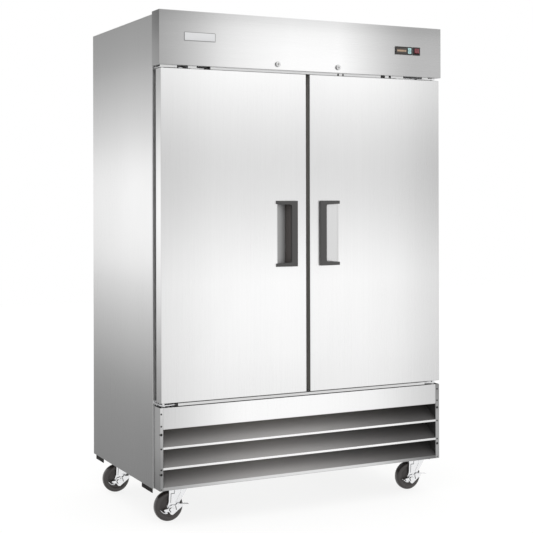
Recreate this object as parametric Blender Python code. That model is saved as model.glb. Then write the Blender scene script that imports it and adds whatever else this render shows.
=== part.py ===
"""Two-door reach-in refrigerator on casters.

Metres, +Z up, +X to the right seen from the front, the front faces -Y.
Origin: on the floor, midway between the side panels in X and between the
front of the handles and the back of the cabinet in Y.
"""
import math
import bpy
import bmesh
from mathutils import Vector, Matrix

# ---------------------------------------------------------------- dimensions
# Rectangles are (x0, x1, z0, z1), seen from the front.
WIDTH = 1.3716            # over the side panels
DEPTH = 0.7250            # side panel, front edge to back
HANDLE_PROUD = 0.0835     # handle ahead of the cabinet front plane
HANDLE_Y = -(DEPTH + HANDLE_PROUD) / 2.0
Y_FACE = HANDLE_Y + HANDLE_PROUD    # cabinet front plane
Y_BACK = Y_FACE + DEPTH
X_SIDE = WIDTH / 2.0
Z_BASE = 0.1550           # bottom of the side panels
Z_CAB = 2.0803            # top of the cabinet
Z_UNDER = Z_CAB - 0.0022  # top of the pieces below the top panel
Z_TOP = 2.0920            # top of the header
SHEET = 0.0015            # outer sheet metal
LINER_SHEET = 0.0012      # inner sheet metal
GAP = 0.0004              # clearance around fitted pieces
SEAT = 0.0003             # clearance under seated pieces
OVER = 0.0100             # cutting tools run past a surface by this much
SIDES = ((-1, "left"), (1, "right"))

FRONT_RETURN = 0.0400     # side panel sheet folded inward at the front
BACK_RETURN = 0.0220      # and at the back
CORE_Y = Y_FACE + 0.0210  # front of the foam core
OPEN_X, OPEN_Z0, OPEN_Z1 = 0.6050, 0.5600, 1.8150    # opening in the face frame
CAV_X, CAV_Z0, CAV_Z1 = 0.6320, 0.5580, 2.0200       # cavity in the foam core
CAV_Y1 = Y_BACK - 0.0620

HEADER_Y = Y_FACE - 0.0745
HEADER_Z0 = 1.8705
LOCK_X, LOCK_Z = 0.1470, 1.8945
LOCK_REACH = 0.0460       # lock axis to the +X end of its cam
CONTROL = (0.4410, 0.5290, 1.9665, 2.0015)           # control bezel
ROCKER = (0.5350, 0.5710, 1.9660, 2.0020)            # rocker bezel
BEZEL_LIP = 0.0040        # bezel overlap on the header

DOOR_Z0, DOOR_Z1 = 0.5099, 1.8585
DOOR_Y = Y_FACE - 0.0705
DOOR_PAN = 0.0500         # depth of the door skin
DOOR_BACK = DOOR_Y + DOOR_PAN
DOOR_OUT = X_SIDE - 0.0084
DOOR_IN = 0.0090
CORE_BORDER = 0.0450      # door edge to the raised middle of the door core
GASKET_INSET, GASKET_W = 0.0190, 0.0200

PIN_X = DOOR_OUT - 0.0200
PIN_Y = DOOR_Y + 0.0250
PIN_R, PIN_HOLE_R = 0.0052, 0.0058
PIN_DEPTH, PIN_HOLE_DEPTH = 0.0200, 0.0260           # into the door
BRACKET = 0.0040          # hinge bracket thickness

HANDLE_X0, HANDLE_X1 = 0.0567, 0.1550
HANDLE_Z0, HANDLE_Z1 = 1.0445, 1.3215
HANDLE_BAR = 0.0280       # width of the upright
RECESS_X0, RECESS_X1 = HANDLE_X0 + 0.0050, HANDLE_X1 - 0.0060
RECESS_Z0, RECESS_Z1 = HANDLE_Z0 + 0.0050, HANDLE_Z1 - 0.0050

GRILLE_Y = Y_FACE - 0.0650
GRILLE_X = X_SIDE - 0.0050
GRILLE_Z0, GRILLE_Z1 = 0.1587, 0.4926
BAND_Z0 = 0.4046          # bottom of the plain band above the louvers
LOUVER_LIPS = ((0.3248, 0.3337), (0.2423, 0.2513))   # bottom and top of each front lip
BOTTOM_LIP_TOP = 0.1724
LOUVER_RUN, LOUVER_RISE = 0.0520, 0.0620

PLATE_Z = 0.1600          # top of the caster plates
FRAME_X = X_SIDE - 0.0022
FRAME_Y0, FRAME_Y1 = Y_FACE + 0.0020, Y_BACK - 0.0020
FRAME_Z = PLATE_Z + SEAT
FRAME_H, FRAME_W, FRAME_T = 0.0300, 0.0400, 0.0040   # height, width, thickness

WHEEL_R, WHEEL_W = 0.0625, 0.0320
WHEEL_STEPS = 32
TRAIL = 0.0380            # swivel axis to the axle
FRONT_CASTER_Y, REAR_CASTER_Y = Y_FACE + 0.0620, Y_FACE + 0.6020
CASTERS = {               # swivel axis of each
    "front_left": (-0.5550, FRONT_CASTER_Y),
    "front_right": (0.6320, FRONT_CASTER_Y),
    "rear_left": (-0.5850, REAR_CASTER_Y),
    "rear_right": (0.6200, REAR_CASTER_Y),
}

SHELF_Z = {"lower": 0.9300, "upper": 1.3500}
TRAY_Z = FRAME_Z + FRAME_H + SEAT
UNIT_Z = TRAY_Z + 0.0018  # underside of the parts standing in the tray

# ------------------------------------------------------------------- outlines
# (radius, y behind the header front)
LOCK_BODY = [
    (0.0064, -0.0070), (0.0105, -0.0070), (0.0115, -0.0055), (0.0115, -SEAT),
    (0.0090, -SEAT), (0.0090, 0.0210), (0.0064, 0.0210)]
# (y, z) from the rocker's cross axis: a wedge-fronted block
ROCKER_OUTLINE = [
    (-0.0135, -0.0105), (-0.0115, 0.0), (-0.0135, 0.0105), (-0.0040, 0.0100),
    (0.0050, 0.0040), (0.0050, -0.0040), (-0.0040, -0.0100)]
# (x, distance in from the handle end): one arm of the C and its inner corner
HANDLE_END = [
    (HANDLE_X0, 0.0), (HANDLE_X1, 0.0), (HANDLE_X1, 0.0140),
    (HANDLE_X0 + HANDLE_BAR + 0.0050, 0.0150), (HANDLE_X0 + HANDLE_BAR, 0.0200)]
# (x from the axle, z above the floor)
CROWN_Z0, CROWN_Z1 = 0.1405, 0.1440
FORK_LEG = [
    (-0.0040, CROWN_Z1), (TRAIL + 0.0380, CROWN_Z1), (TRAIL + 0.0360, 0.1250),
    (0.0400, 0.0740), (0.0150, 0.0500), (-0.0100, 0.0500), (-0.0120, 0.0660),
    (-0.0060, 0.0800)]
# (radius, distance from the wheel's middle plane), bore to tread; the tread
# radius is set so that the flats of the faceted wheel touch the floor
WHEEL_HALF = [
    (0.0054, 0.0175), (0.0160, 0.0175), (0.0190, 0.0120), (0.0420, 0.0120),
    (0.0470, WHEEL_W / 2), (0.0585, WHEEL_W / 2),
    (WHEEL_R / math.cos(math.pi / WHEEL_STEPS), WHEEL_W / 2 - 0.0060)]
# (x, z) from the axle
BRAKE_PIVOT = (0.0140, -0.0020)
BRAKE_LEVER = [
    (-0.0300, -0.0120), (-0.0200, -0.0200), (-0.0060, -0.0170), (0.0020, -0.0300),
    (0.0110, -0.0330), (0.0560, 0.0020), (0.0560, 0.0080), (0.0300, 0.0140),
    (0.0240, 0.0060), (0.0100, 0.0080), (-0.0040, 0.0050), (-0.0100, -0.0060),
    (-0.0280, -0.0080)]
BRAKE_PEDAL = [
    (-0.0480, -0.0090), (-0.0460, -0.0125), (-0.0300, -0.0200), (-0.0200, -0.0200),
    (-0.0200, -0.0175), (-0.0290, -0.0175), (-0.0445, -0.0100), (-0.0460, -0.0070)]
RELEASE_TAB = [
    (0.0300, 0.0115), (0.0440, 0.0110), (0.0760, 0.0070), (0.0765, 0.0092),
    (0.0450, 0.0135), (0.0300, 0.0139)]
# (along, across) as fractions of the fan radius
FAN_BLADE = [
    (0.20, -0.13), (0.55, -0.30), (0.93, -0.34), (0.97, 0.05), (0.90, 0.34),
    (0.55, 0.24), (0.20, 0.13)]
# (radius, height)
COMPRESSOR = [
    (0.0, 0.0), (0.0700, 0.0), (0.0720, 0.0200), (0.0950, 0.0300), (0.0980, 0.0900),
    (0.1000, 0.0950), (0.0980, 0.1000), (0.0950, 0.1700), (0.0800, 0.2000),
    (0.0400, 0.2150), (0.0, 0.2180)]

# ------------------------------------------------------------------ materials
for old in list(bpy.data.objects):
    bpy.data.objects.remove(old, do_unlink=True)


def material(name, color, roughness, metallic=0.0):
    mat = bpy.data.materials.new(name)
    mat.use_nodes = True
    shader = mat.node_tree.nodes["Principled BSDF"]
    shader.inputs["Base Color"].default_value = (*color, 1.0)
    shader.inputs["Roughness"].default_value = roughness
    shader.inputs["Metallic"].default_value = metallic
    mat.diffuse_color = (*color, 1.0)
    return mat


STEEL = material("stainless", (0.72, 0.72, 0.72), roughness=0.32, metallic=1.0)
GALVANISED = material("galvanised", (0.55, 0.56, 0.57), roughness=0.5, metallic=1.0)
LINER = material("liner", (0.80, 0.81, 0.82), roughness=0.35, metallic=1.0)
FOAM = material("foam", (0.80, 0.72, 0.50), roughness=0.9)
BLACK_PLASTIC = material("black_plastic", (0.045, 0.045, 0.045), roughness=0.45)
GREY_PLASTIC = material("grey_plastic", (0.55, 0.56, 0.57), roughness=0.45)
RUBBER = material("gasket_rubber", (0.10, 0.10, 0.10), roughness=0.7)
TYRE = material("caster_tyre", (0.035, 0.030, 0.028), roughness=0.55)
ZINC = material("zinc", (0.80, 0.81, 0.82), roughness=0.25, metallic=1.0)
FRAME_PAINT = material("frame_paint", (0.035, 0.032, 0.030), roughness=0.5)
LENS = material("lens", (0.015, 0.012, 0.010), roughness=0.1)
AQUA = material("button_key", (0.50, 0.68, 0.68), roughness=0.4)
RED = material("rocker_red", (0.55, 0.03, 0.02), roughness=0.35)
WIRE = material("shelf_wire", (0.80, 0.80, 0.80), roughness=0.35, metallic=1.0)
BLACK_PAINT = material("compressor_paint", (0.02, 0.02, 0.02), roughness=0.35)
COIL = material("coil_fins", (0.60, 0.61, 0.62), roughness=0.5, metallic=1.0)
FAN_PLASTIC = material("fan_plastic", (0.75, 0.75, 0.74), roughness=0.5)

# --------------------------------------------------------------------- shapes
# The two cross directions and the direction along each axis.
AXES = {"X": (Vector((0, 1, 0)), Vector((0, 0, 1)), Vector((1, 0, 0))),
        "Y": (Vector((1, 0, 0)), Vector((0, 0, 1)), Vector((0, 1, 0))),
        "Z": (Vector((1, 0, 0)), Vector((0, 1, 0)), Vector((0, 0, 1)))}


def make(name, bm, mat, smooth=False):
    bmesh.ops.recalc_face_normals(bm, faces=bm.faces[:])
    mesh = bpy.data.meshes.new(name)
    bm.to_mesh(mesh)
    bm.free()
    if smooth:
        mesh.shade_smooth()
        mesh.set_sharp_from_angle(angle=math.radians(35))
    ob = bpy.data.objects.new(name, mesh)
    bpy.context.scene.collection.objects.link(ob)
    if mat is not None:
        mesh.materials.append(mat)
    return ob


def box(name, x0, x1, y0, y1, z0, z1, mat=None):
    """Box between two values on each axis, given in either order."""
    low = Vector((min(x0, x1), min(y0, y1), min(z0, z1)))
    high = Vector((max(x0, x1), max(y0, y1), max(z0, z1)))
    size, middle = high - low, (high + low) / 2
    bm = bmesh.new()
    for vert in bmesh.ops.create_cube(bm, size=1.0)["verts"]:
        vert.co = vert.co * size + middle if False else Vector(
            [c * s for c, s in zip(vert.co, size)]) + middle
    return make(name, bm, mat)


def slab(name, rect, inset, y0, y1, mat=None):
    """Box on a rectangle drawn in by inset all round, from y0 to y1."""
    x0, x1, z0, z1 = rect
    return box(name, x0 + inset, x1 - inset, y0, y1, z0 + inset, z1 - inset, mat)


def prism(name, points, axis, start, end, mat=None):
    """Closed outline in the plane across axis, extruded from start to end."""
    u, v, w = AXES[axis]
    bm = bmesh.new()
    face = bm.faces.new([bm.verts.new(u * p[0] + v * p[1] + w * start) for p in points])
    extruded = bmesh.ops.extrude_face_region(bm, geom=[face])
    for item in extruded["geom"]:
        if isinstance(item, bmesh.types.BMVert):
            item.co += w * (end - start)
    return make(name, bm, mat)


def polar(axis, centre, radius, turn, along):
    """Point at a fraction of a turn about an axis through centre."""
    u, v, w = AXES[axis]
    angle = 2 * math.pi * turn
    return (u * (centre[0] + radius * math.cos(angle))
            + v * (centre[1] + radius * math.sin(angle)) + w * along)


def cylinder(name, centre, radius, axis, start, end, steps=24, mat=None, phase=0.0):
    """Cylinder on an axis through centre (its two cross coordinates)."""
    bm = bmesh.new()
    low, high = ([bm.verts.new(polar(axis, centre, radius, (i + phase) / steps, along))
                  for i in range(steps)] for along in (start, end))
    bm.faces.new(low)
    bm.faces.new(high)
    for i in range(steps):
        j = (i + 1) % steps
        bm.faces.new((low[i], low[j], high[j], high[i]))
    return make(name, bm, mat, smooth=True)


def lathe(name, profile, centre, axis, steps, mat):
    """Closed (radius, along) outline turned about an axis, flats facing down."""
    bm = bmesh.new()
    rings = [[bm.verts.new(polar(axis, centre, radius, (i + 0.5) / steps, along))
              for radius, along in profile] for i in range(steps)]
    for i in range(steps):
        a, b = rings[i], rings[(i + 1) % steps]
        for j in range(len(profile)):
            k = (j + 1) % len(profile)
            bm.faces.new((a[j], a[k], b[k], b[j]))
    return make(name, bm, mat, smooth=True)


def turned(name, profile, centre, axis, steps, mat):
    """Solid of revolution: the outline starts and ends on the axis."""
    bm = bmesh.new()
    first, last = (bm.verts.new(polar(axis, centre, 0.0, 0.0, profile[end][1]))
                   for end in (0, -1))
    rings = [[bm.verts.new(polar(axis, centre, radius, i / steps, along))
              for i in range(steps)] for radius, along in profile[1:-1]]
    for i in range(steps):
        j = (i + 1) % steps
        bm.faces.new((first, rings[0][i], rings[0][j]))
        bm.faces.new((last, rings[-1][i], rings[-1][j]))
        for a, b in zip(rings, rings[1:]):
            bm.faces.new((a[i], a[j], b[j], b[i]))
    return make(name, bm, mat, smooth=True)


def boolean(ob, tool, operation):
    """Apply an exact boolean to ob and remove the tool."""
    modifier = ob.modifiers.new(operation.lower(), "BOOLEAN")
    modifier.operation = operation
    modifier.object = tool
    modifier.solver = "EXACT"
    depsgraph = bpy.context.evaluated_depsgraph_get()
    depsgraph.update()
    mesh = bpy.data.meshes.new_from_object(ob.evaluated_get(depsgraph))
    ob.modifiers.clear()
    old_mesh = ob.data
    ob.data = mesh
    mesh.name = ob.name
    bpy.data.meshes.remove(old_mesh)
    bpy.data.objects.remove(tool, do_unlink=True)


def cut(ob, tool):
    boolean(ob, tool, "DIFFERENCE")


def join(ob, tool):
    boolean(ob, tool, "UNION")


def mirrored(points, side):
    return [(side * a, b) for a, b in points]


def shifted(points, da, db):
    return [(a + da, b + db) for a, b in points]


# ------------------------------------------------------------ cabinet casing
def side_panel(side, hand):
    """Sheet with folded returns at the front and back edges."""
    inner = X_SIDE - SHEET
    points = [
        (X_SIDE, Y_FACE), (X_SIDE, Y_BACK), (X_SIDE - BACK_RETURN, Y_BACK),
        (X_SIDE - BACK_RETURN, Y_BACK - SHEET), (inner, Y_BACK - SHEET),
        (inner, Y_FACE + SHEET), (X_SIDE - FRONT_RETURN, Y_FACE + SHEET),
        (X_SIDE - FRONT_RETURN, Y_FACE)]
    prism(hand + "_side_panel", mirrored(points, side), "Z", Z_BASE, Z_UNDER, STEEL)


def inner_liner():
    """Tray open at the front, with the shelf standards on its walls."""
    x, back, front = CAV_X - GAP, CAV_Y1 - GAP, CORE_Y + GAP
    z0, z1 = CAV_Z0 + GAP, CAV_Z1 - GAP
    wall_x, wall_y = x - LINER_SHEET, back - LINER_SHEET
    standard_d, side_half, back_half = 0.0100, 0.0130, 0.0260
    right = [(wall_x, front)]
    for y in (front + 0.0750, back - 0.0800):
        right += [(wall_x, y - side_half), (wall_x - standard_d, y - side_half),
                  (wall_x - standard_d, y + side_half), (wall_x, y + side_half)]
    right += [(wall_x, wall_y), (back_half, wall_y), (back_half, wall_y - standard_d)]
    outer = [(-x, front), (-x, back), (x, back), (x, front)]
    liner = prism("inner_liner", outer + right + mirrored(right, -1)[::-1], "Z", z0, z1, LINER)
    join(liner, box("tool", -x, x, front, back, z0, z0 + LINER_SHEET))
    join(liner, box("tool", -x, x, front, back, z1 - LINER_SHEET, z1))


def casing():
    for side, hand in SIDES:
        side_panel(side, hand)
    box("top_panel", -X_SIDE, X_SIDE, Y_FACE, Y_BACK, Z_CAB - SHEET, Z_CAB, STEEL)
    back_x = X_SIDE - BACK_RETURN - 0.0005
    box("back_panel", -back_x, back_x, Y_BACK - SHEET, Y_BACK, 0.4300, Z_UNDER, GALVANISED)

    core_x = X_SIDE - 0.0020
    core = box("foam_core", -core_x, core_x, CORE_Y, Y_BACK - 0.0020, 0.5020, Z_UNDER, FOAM)
    cut(core, box("tool", -CAV_X, CAV_X, Y_FACE, CAV_Y1, CAV_Z0, CAV_Z1))
    inner_liner()

    frame_x, front = X_SIDE - FRONT_RETURN - GAP, Y_FACE + SEAT
    face = box("face_frame", -frame_x, frame_x, front, CORE_Y - GAP, 0.4985, Z_UNDER, STEEL)
    cut(face, box("tool", -OPEN_X, OPEN_X, Y_FACE - OVER, CORE_Y + OVER, OPEN_Z0, OPEN_Z1))
    mullion = box("center_mullion", -0.0400, 0.0400, front, Y_FACE + 0.0450,
                  OPEN_Z0 + GAP, OPEN_Z1 - GAP, STEEL)
    # narrow rib down the back of the mullion
    join(mullion, box("tool", -0.0130, 0.0130, Y_FACE + 0.0400, Y_FACE + 0.0550,
                      OPEN_Z0 + 0.0300, OPEN_Z1 - 0.0300))


# ------------------------------------------------------------------- header
def header_panel():
    """Shell open at the back, holed for the locks, controls and rocker."""
    before, behind = HEADER_Y - OVER, HEADER_Y + OVER
    inner_x = X_SIDE - SHEET
    head = box("header_panel", -X_SIDE, X_SIDE, HEADER_Y, Y_FACE - GAP,
               HEADER_Z0, Z_TOP, STEEL)
    cut(head, box("tool", -inner_x, inner_x, HEADER_Y + SHEET, Y_FACE + OVER,
                  HEADER_Z0 + SHEET, Z_TOP - SHEET))
    # rear strip of the bottom sheet
    cut(head, box("tool", -inner_x, inner_x, Y_FACE - 0.0060, Y_FACE + OVER,
                  HEADER_Z0 - OVER, HEADER_Z0 + OVER))
    for side, _ in SIDES:
        x = side * LOCK_X
        cut(head, cylinder("tool", (x, LOCK_Z), 0.0094, "Y", before, behind))
        # slot in the bottom sheet below the lock cam
        cut(head, box("tool", x - 0.0120, x + 0.0520, Y_FACE - 0.0560, Y_FACE - 0.0420,
                      HEADER_Z0 - OVER, HEADER_Z0 + OVER))
    for bezel in (CONTROL, ROCKER):
        cut(head, slab("tool", bezel, BEZEL_LIP, before, behind))
    box("name_plate", -0.5760, -0.4360, HEADER_Y - 0.0018, HEADER_Y - SEAT,
        1.9705, 2.0065, GREY_PLASTIC)


def controls():
    """Bezel with a display window and two keys, one above the other."""
    x0, _, z0, z1 = CONTROL
    border, pocket_y = 0.0045, HEADER_Y - 0.0020
    bezel = slab("control_bezel", CONTROL, 0.0, HEADER_Y - 0.0045, HEADER_Y - SEAT,
                 BLACK_PLASTIC)
    join(bezel, slab("tool", CONTROL, BEZEL_LIP + GAP, pocket_y, HEADER_Y + 0.0400))
    window = (x0 + 0.0040, x0 + 0.0600, z0 + border, z1 - border)
    cut(bezel, slab("tool", window, 0.0, HEADER_Y - OVER, pocket_y))
    key_x, key_w, key_h = x0 + 0.0640, 0.0180, 0.0125
    for word, z in (("up", z0 + 0.0180), ("down", z0 + border)):
        key = (key_x, key_x + key_w, z, z + key_h)
        cut(bezel, slab("tool", key, 0.0, HEADER_Y - OVER, HEADER_Y + 0.0030))
        slab("button_" + word, key, GAP, HEADER_Y - 0.0060, HEADER_Y + 0.0010, AQUA)
    slab("display_lens", window, GAP, HEADER_Y - 0.0048, pocket_y - GAP, LENS)


def rocker():
    """Bezel with a deep pocket, and the switch tipped 8 degrees in it."""
    x0, x1, z0, z1 = ROCKER
    bezel = slab("rocker_bezel", ROCKER, 0.0, HEADER_Y - 0.0040, HEADER_Y - SEAT,
                 BLACK_PLASTIC)
    join(bezel, slab("tool", ROCKER, BEZEL_LIP + GAP, HEADER_Y - 0.0020, HEADER_Y + 0.0260))
    cut(bezel, box("tool", x0 + 0.0058, x1 - 0.0058, HEADER_Y - OVER, HEADER_Y + 0.0180,
                   z0 + 0.0052, z1 - 0.0052))
    tip = math.radians(-8)
    cos, sin = math.cos(tip), math.sin(tip)
    tipped = [(y * cos - z * sin, y * sin + z * cos) for y, z in ROCKER_OUTLINE]
    prism("rocker_switch", shifted(tipped, HEADER_Y + 0.0060, (z0 + z1) / 2), "X",
          x0 + 0.0064, x1 - 0.0064, RED)


def lock(side, hand):
    """Ringed body, and a plug with a key slot in front and a flat cam behind."""
    x, z = centre = (side * LOCK_X, LOCK_Z)
    cam_y0, cam_y1, cam_half = HEADER_Y + 0.0225, HEADER_Y + 0.0250, 0.0065
    lathe("lock_body_" + hand, shifted(LOCK_BODY, 0.0, HEADER_Y), centre, "Y", 24, ZINC)
    plug = cylinder("lock_plug_" + hand, centre, 0.0060, "Y", HEADER_Y - 0.0078, cam_y1,
                    20, ZINC)
    cut(plug, box("tool", x - 0.0006, x + 0.0006, HEADER_Y - OVER, HEADER_Y - 0.0050,
                  z - 0.0035, z + 0.0035))
    join(plug, box("tool", x - 0.0070, x + LOCK_REACH, cam_y0, cam_y1,
                   z - cam_half, z + cam_half))


# -------------------------------------------------------------------- doors
def finger_recess(side, skin, core):
    """Pressed wedge, deep under the grip, running out at its far edge."""
    cut(skin, box("tool", side * RECESS_X0, side * RECESS_X1, DOOR_Y - OVER, DOOR_Y + OVER,
                  RECESS_Z0, RECESS_Z1))
    inside = [
        (RECESS_X0 + SHEET, DOOR_Y - 0.0200), (RECESS_X0 + SHEET, DOOR_Y + 0.0400),
        (RECESS_X0 + 0.0120, DOOR_Y + 0.0400), (RECESS_X1 - 0.0002, DOOR_Y + 0.0007),
        (RECESS_X1 - 0.0002, DOOR_Y - 0.0200)]
    outside = [
        (RECESS_X0 - 0.0010, DOOR_Y + 0.0003), (RECESS_X0 - 0.0010, DOOR_Y + 0.0415),
        (RECESS_X0 + 0.0126, DOOR_Y + 0.0415), (RECESS_X1 + 0.0030, DOOR_Y + 0.0013),
        (RECESS_X1 + 0.0030, DOOR_Y + 0.0003)]
    scoop = prism("scoop", mirrored(outside, side), "Z", RECESS_Z0 - 0.0010, RECESS_Z1 + 0.0010)
    cut(scoop, prism("tool", mirrored(inside, side), "Z",
                     RECESS_Z0 + 0.0005, RECESS_Z1 - 0.0005))
    join(skin, scoop)
    cut(core, box("tool", side * (RECESS_X0 - 0.0016), side * (RECESS_X1 + 0.0040),
                  DOOR_Y - OVER, DOOR_Y + 0.0425, RECESS_Z0 - 0.0016, RECESS_Z1 + 0.0016))


def handle(side, hand):
    """C-shaped grip, upright on the inner side, with a lip into the recess."""
    points = ([(x, HANDLE_Z0 + z) for x, z in HANDLE_END]
              + [(x, HANDLE_Z1 - z) for x, z in reversed(HANDLE_END)])
    grip = prism("handle_" + hand, mirrored(points, side), "Y", HANDLE_Y, DOOR_Y - SEAT,
                 BLACK_PLASTIC)
    # the arms fall away from the upright until their ends lie on the door
    bend_x = HANDLE_X0 + HANDLE_BAR + 0.0040
    fall = [(bend_x, HANDLE_Y - OVER), (bend_x, HANDLE_Y - 0.0001),
            (HANDLE_X1 + OVER, DOOR_Y - 0.0030), (HANDLE_X1 + OVER, HANDLE_Y - OVER)]
    cut(grip, prism("tool", mirrored(fall, side), "Z", HANDLE_Z0 - OVER, HANDLE_Z1 + OVER))
    join(grip, box("tool", side * (HANDLE_X0 + 0.0220), side * (HANDLE_X0 + HANDLE_BAR - GAP),
                   DOOR_Y - 0.0060, DOOR_Y + 0.0240, RECESS_Z0 + 0.0040, RECESS_Z1 - 0.0040))


def hinge(side, name, reach, plate_z, flange_z0, flange_z1, pin_z):
    """Horizontal plate with a flange on the cabinet front and a pin into the door."""
    x0, x1 = side * (PIN_X - reach), side * (PIN_X + 0.0120)
    back = Y_FACE - SEAT
    bracket = box(name, x0, x1, PIN_Y - 0.0130, back, plate_z, plate_z + BRACKET, ZINC)
    join(bracket, box("tool", x0, x1, Y_FACE - 0.0035, back, flange_z0, flange_z1))
    start, end = sorted((pin_z, plate_z + BRACKET / 2))
    join(bracket, cylinder("tool", (side * PIN_X, PIN_Y), PIN_R, "Z", start, end, 16))


def door(side, hand):
    rect = (*sorted((side * DOOR_IN, side * DOOR_OUT)), DOOR_Z0, DOOR_Z1)
    skin = slab("door_skin_" + hand, rect, 0.0, DOOR_Y, DOOR_BACK, STEEL)
    cut(skin, slab("tool", rect, SHEET, DOOR_Y + SHEET, DOOR_BACK + OVER))
    fit = SHEET + GAP
    core = slab("door_core_" + hand, rect, fit, DOOR_Y + fit, DOOR_BACK + 0.0020, LINER)
    join(core, slab("tool", rect, CORE_BORDER, DOOR_BACK - 0.0100, DOOR_BACK + 0.0080))
    finger_recess(side, skin, core)

    # slot in the top below the lock, and holes for the hinge pins
    slot_x = side * LOCK_X - 0.0110
    pin = (side * PIN_X, PIN_Y)
    for ob in (skin, core):
        cut(ob, box("tool", slot_x, slot_x + 0.0520, HEADER_Y + 0.0180, HEADER_Y + 0.0295,
                    DOOR_Z1 - 0.0160, DOOR_Z1 + OVER))
        for z0, z1 in ((DOOR_Z1 - PIN_HOLE_DEPTH, DOOR_Z1 + OVER),
                       (DOOR_Z0 - OVER, DOOR_Z0 + PIN_HOLE_DEPTH)):
            cut(ob, cylinder("tool", pin, PIN_HOLE_R, "Z", z0, z1, 16))

    y0, y1 = DOOR_BACK + 0.0024, Y_FACE - 0.0010
    gasket = slab("gasket_" + hand, rect, GASKET_INSET, y0, y1, RUBBER)
    cut(gasket, slab("tool", rect, GASKET_INSET + GASKET_W, y0 - OVER, y1 + OVER))

    handle(side, hand)
    hinge(side, "hinge_top_" + hand, reach=0.1900, plate_z=1.8625,
          flange_z0=1.8625, flange_z1=1.9050, pin_z=DOOR_Z1 - PIN_DEPTH)
    hinge(side, "hinge_bottom_" + hand, reach=0.0600, plate_z=0.4975,
          flange_z0=0.4560, flange_z1=0.5015, pin_z=DOOR_Z0 + PIN_DEPTH)


# ------------------------------------------------------------- louver panel
def louver_panel():
    """Open-backed shell with three slats rising toward the back."""
    inner_x, window_x = GRILLE_X - SHEET, GRILLE_X - 0.0140
    panel = box("louver_panel", -GRILLE_X, GRILLE_X, GRILLE_Y, Y_FACE - GAP,
                GRILLE_Z0, GRILLE_Z1, STEEL)
    cut(panel, box("tool", -inner_x, inner_x, GRILLE_Y + SHEET, Y_FACE + OVER,
                   GRILLE_Z0 + SHEET, GRILLE_Z1 - SHEET))
    cut(panel, box("tool", -window_x, window_x, GRILLE_Y - OVER, GRILLE_Y + OVER,
                   BOTTOM_LIP_TOP, BAND_Z0))
    # rear strip of the top sheet
    cut(panel, box("tool", -inner_x, inner_x, Y_FACE - 0.0060, Y_FACE + OVER,
                   GRILLE_Z1 - OVER, GRILLE_Z1 + OVER))

    def slat_top(z):
        return [(GRILLE_Y + SHEET + LOUVER_RUN, z + LOUVER_RISE),
                (GRILLE_Y + LOUVER_RUN, z + LOUVER_RISE + 0.0010)]

    slats = [[(GRILLE_Y, z0), (GRILLE_Y + SHEET, z0), (GRILLE_Y + SHEET, z1 - 0.0015),
              *slat_top(z1), (GRILLE_Y, z1)] for z0, z1 in LOUVER_LIPS]
    # the bottom slat starts inside the panel's own front sheet
    y, z = GRILLE_Y + 0.0005, BOTTOM_LIP_TOP
    slats.append([(y, z - 0.0040), (y + SHEET, z - 0.0040), *slat_top(z), (y, z - 0.0005)])
    for points in slats:
        join(panel, prism("tool", points, "X", -GRILLE_X + 0.0008, GRILLE_X - 0.0008))


# --------------------------------------------------------------- base frame
def base_frame():
    """Angle-section rim with caster pads, side tabs and two flat straps."""
    top, pad_top = FRAME_Z + FRAME_H, FRAME_Z + FRAME_T
    frame = box("base_frame", -FRAME_X, FRAME_X, FRAME_Y0, FRAME_Y1, FRAME_Z, top, FRAME_PAINT)
    for inset, z in ((FRAME_W, FRAME_Z - OVER), (FRAME_T, pad_top)):
        cut(frame, box("tool", -FRAME_X + inset, FRAME_X - inset,
                       FRAME_Y0 + inset, FRAME_Y1 - inset, z, top + OVER))
    limit = FRAME_X - 0.0010
    for x, y in CASTERS.values():
        join(frame, box("tool", max(x - 0.0600, -limit), min(x + 0.0600, limit),
                        y - 0.0550, y + 0.0550, FRAME_Z, pad_top))
    for side, _ in SIDES:
        for y0, y1 in ((0.0130, 0.1280), (0.6000, 0.6960)):
            join(frame, box("tool", side * (FRAME_X - 0.0030), side * FRAME_X,
                            Y_FACE + y0, Y_FACE + y1, 0.1360, FRAME_Z + 0.0100))
    for side, _ in SIDES:
        join(frame, box("tool", side * 0.4200, side * 0.3600, Y_FACE + 0.0100,
                        Y_BACK - 0.0100, FRAME_Z, pad_top))


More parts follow.
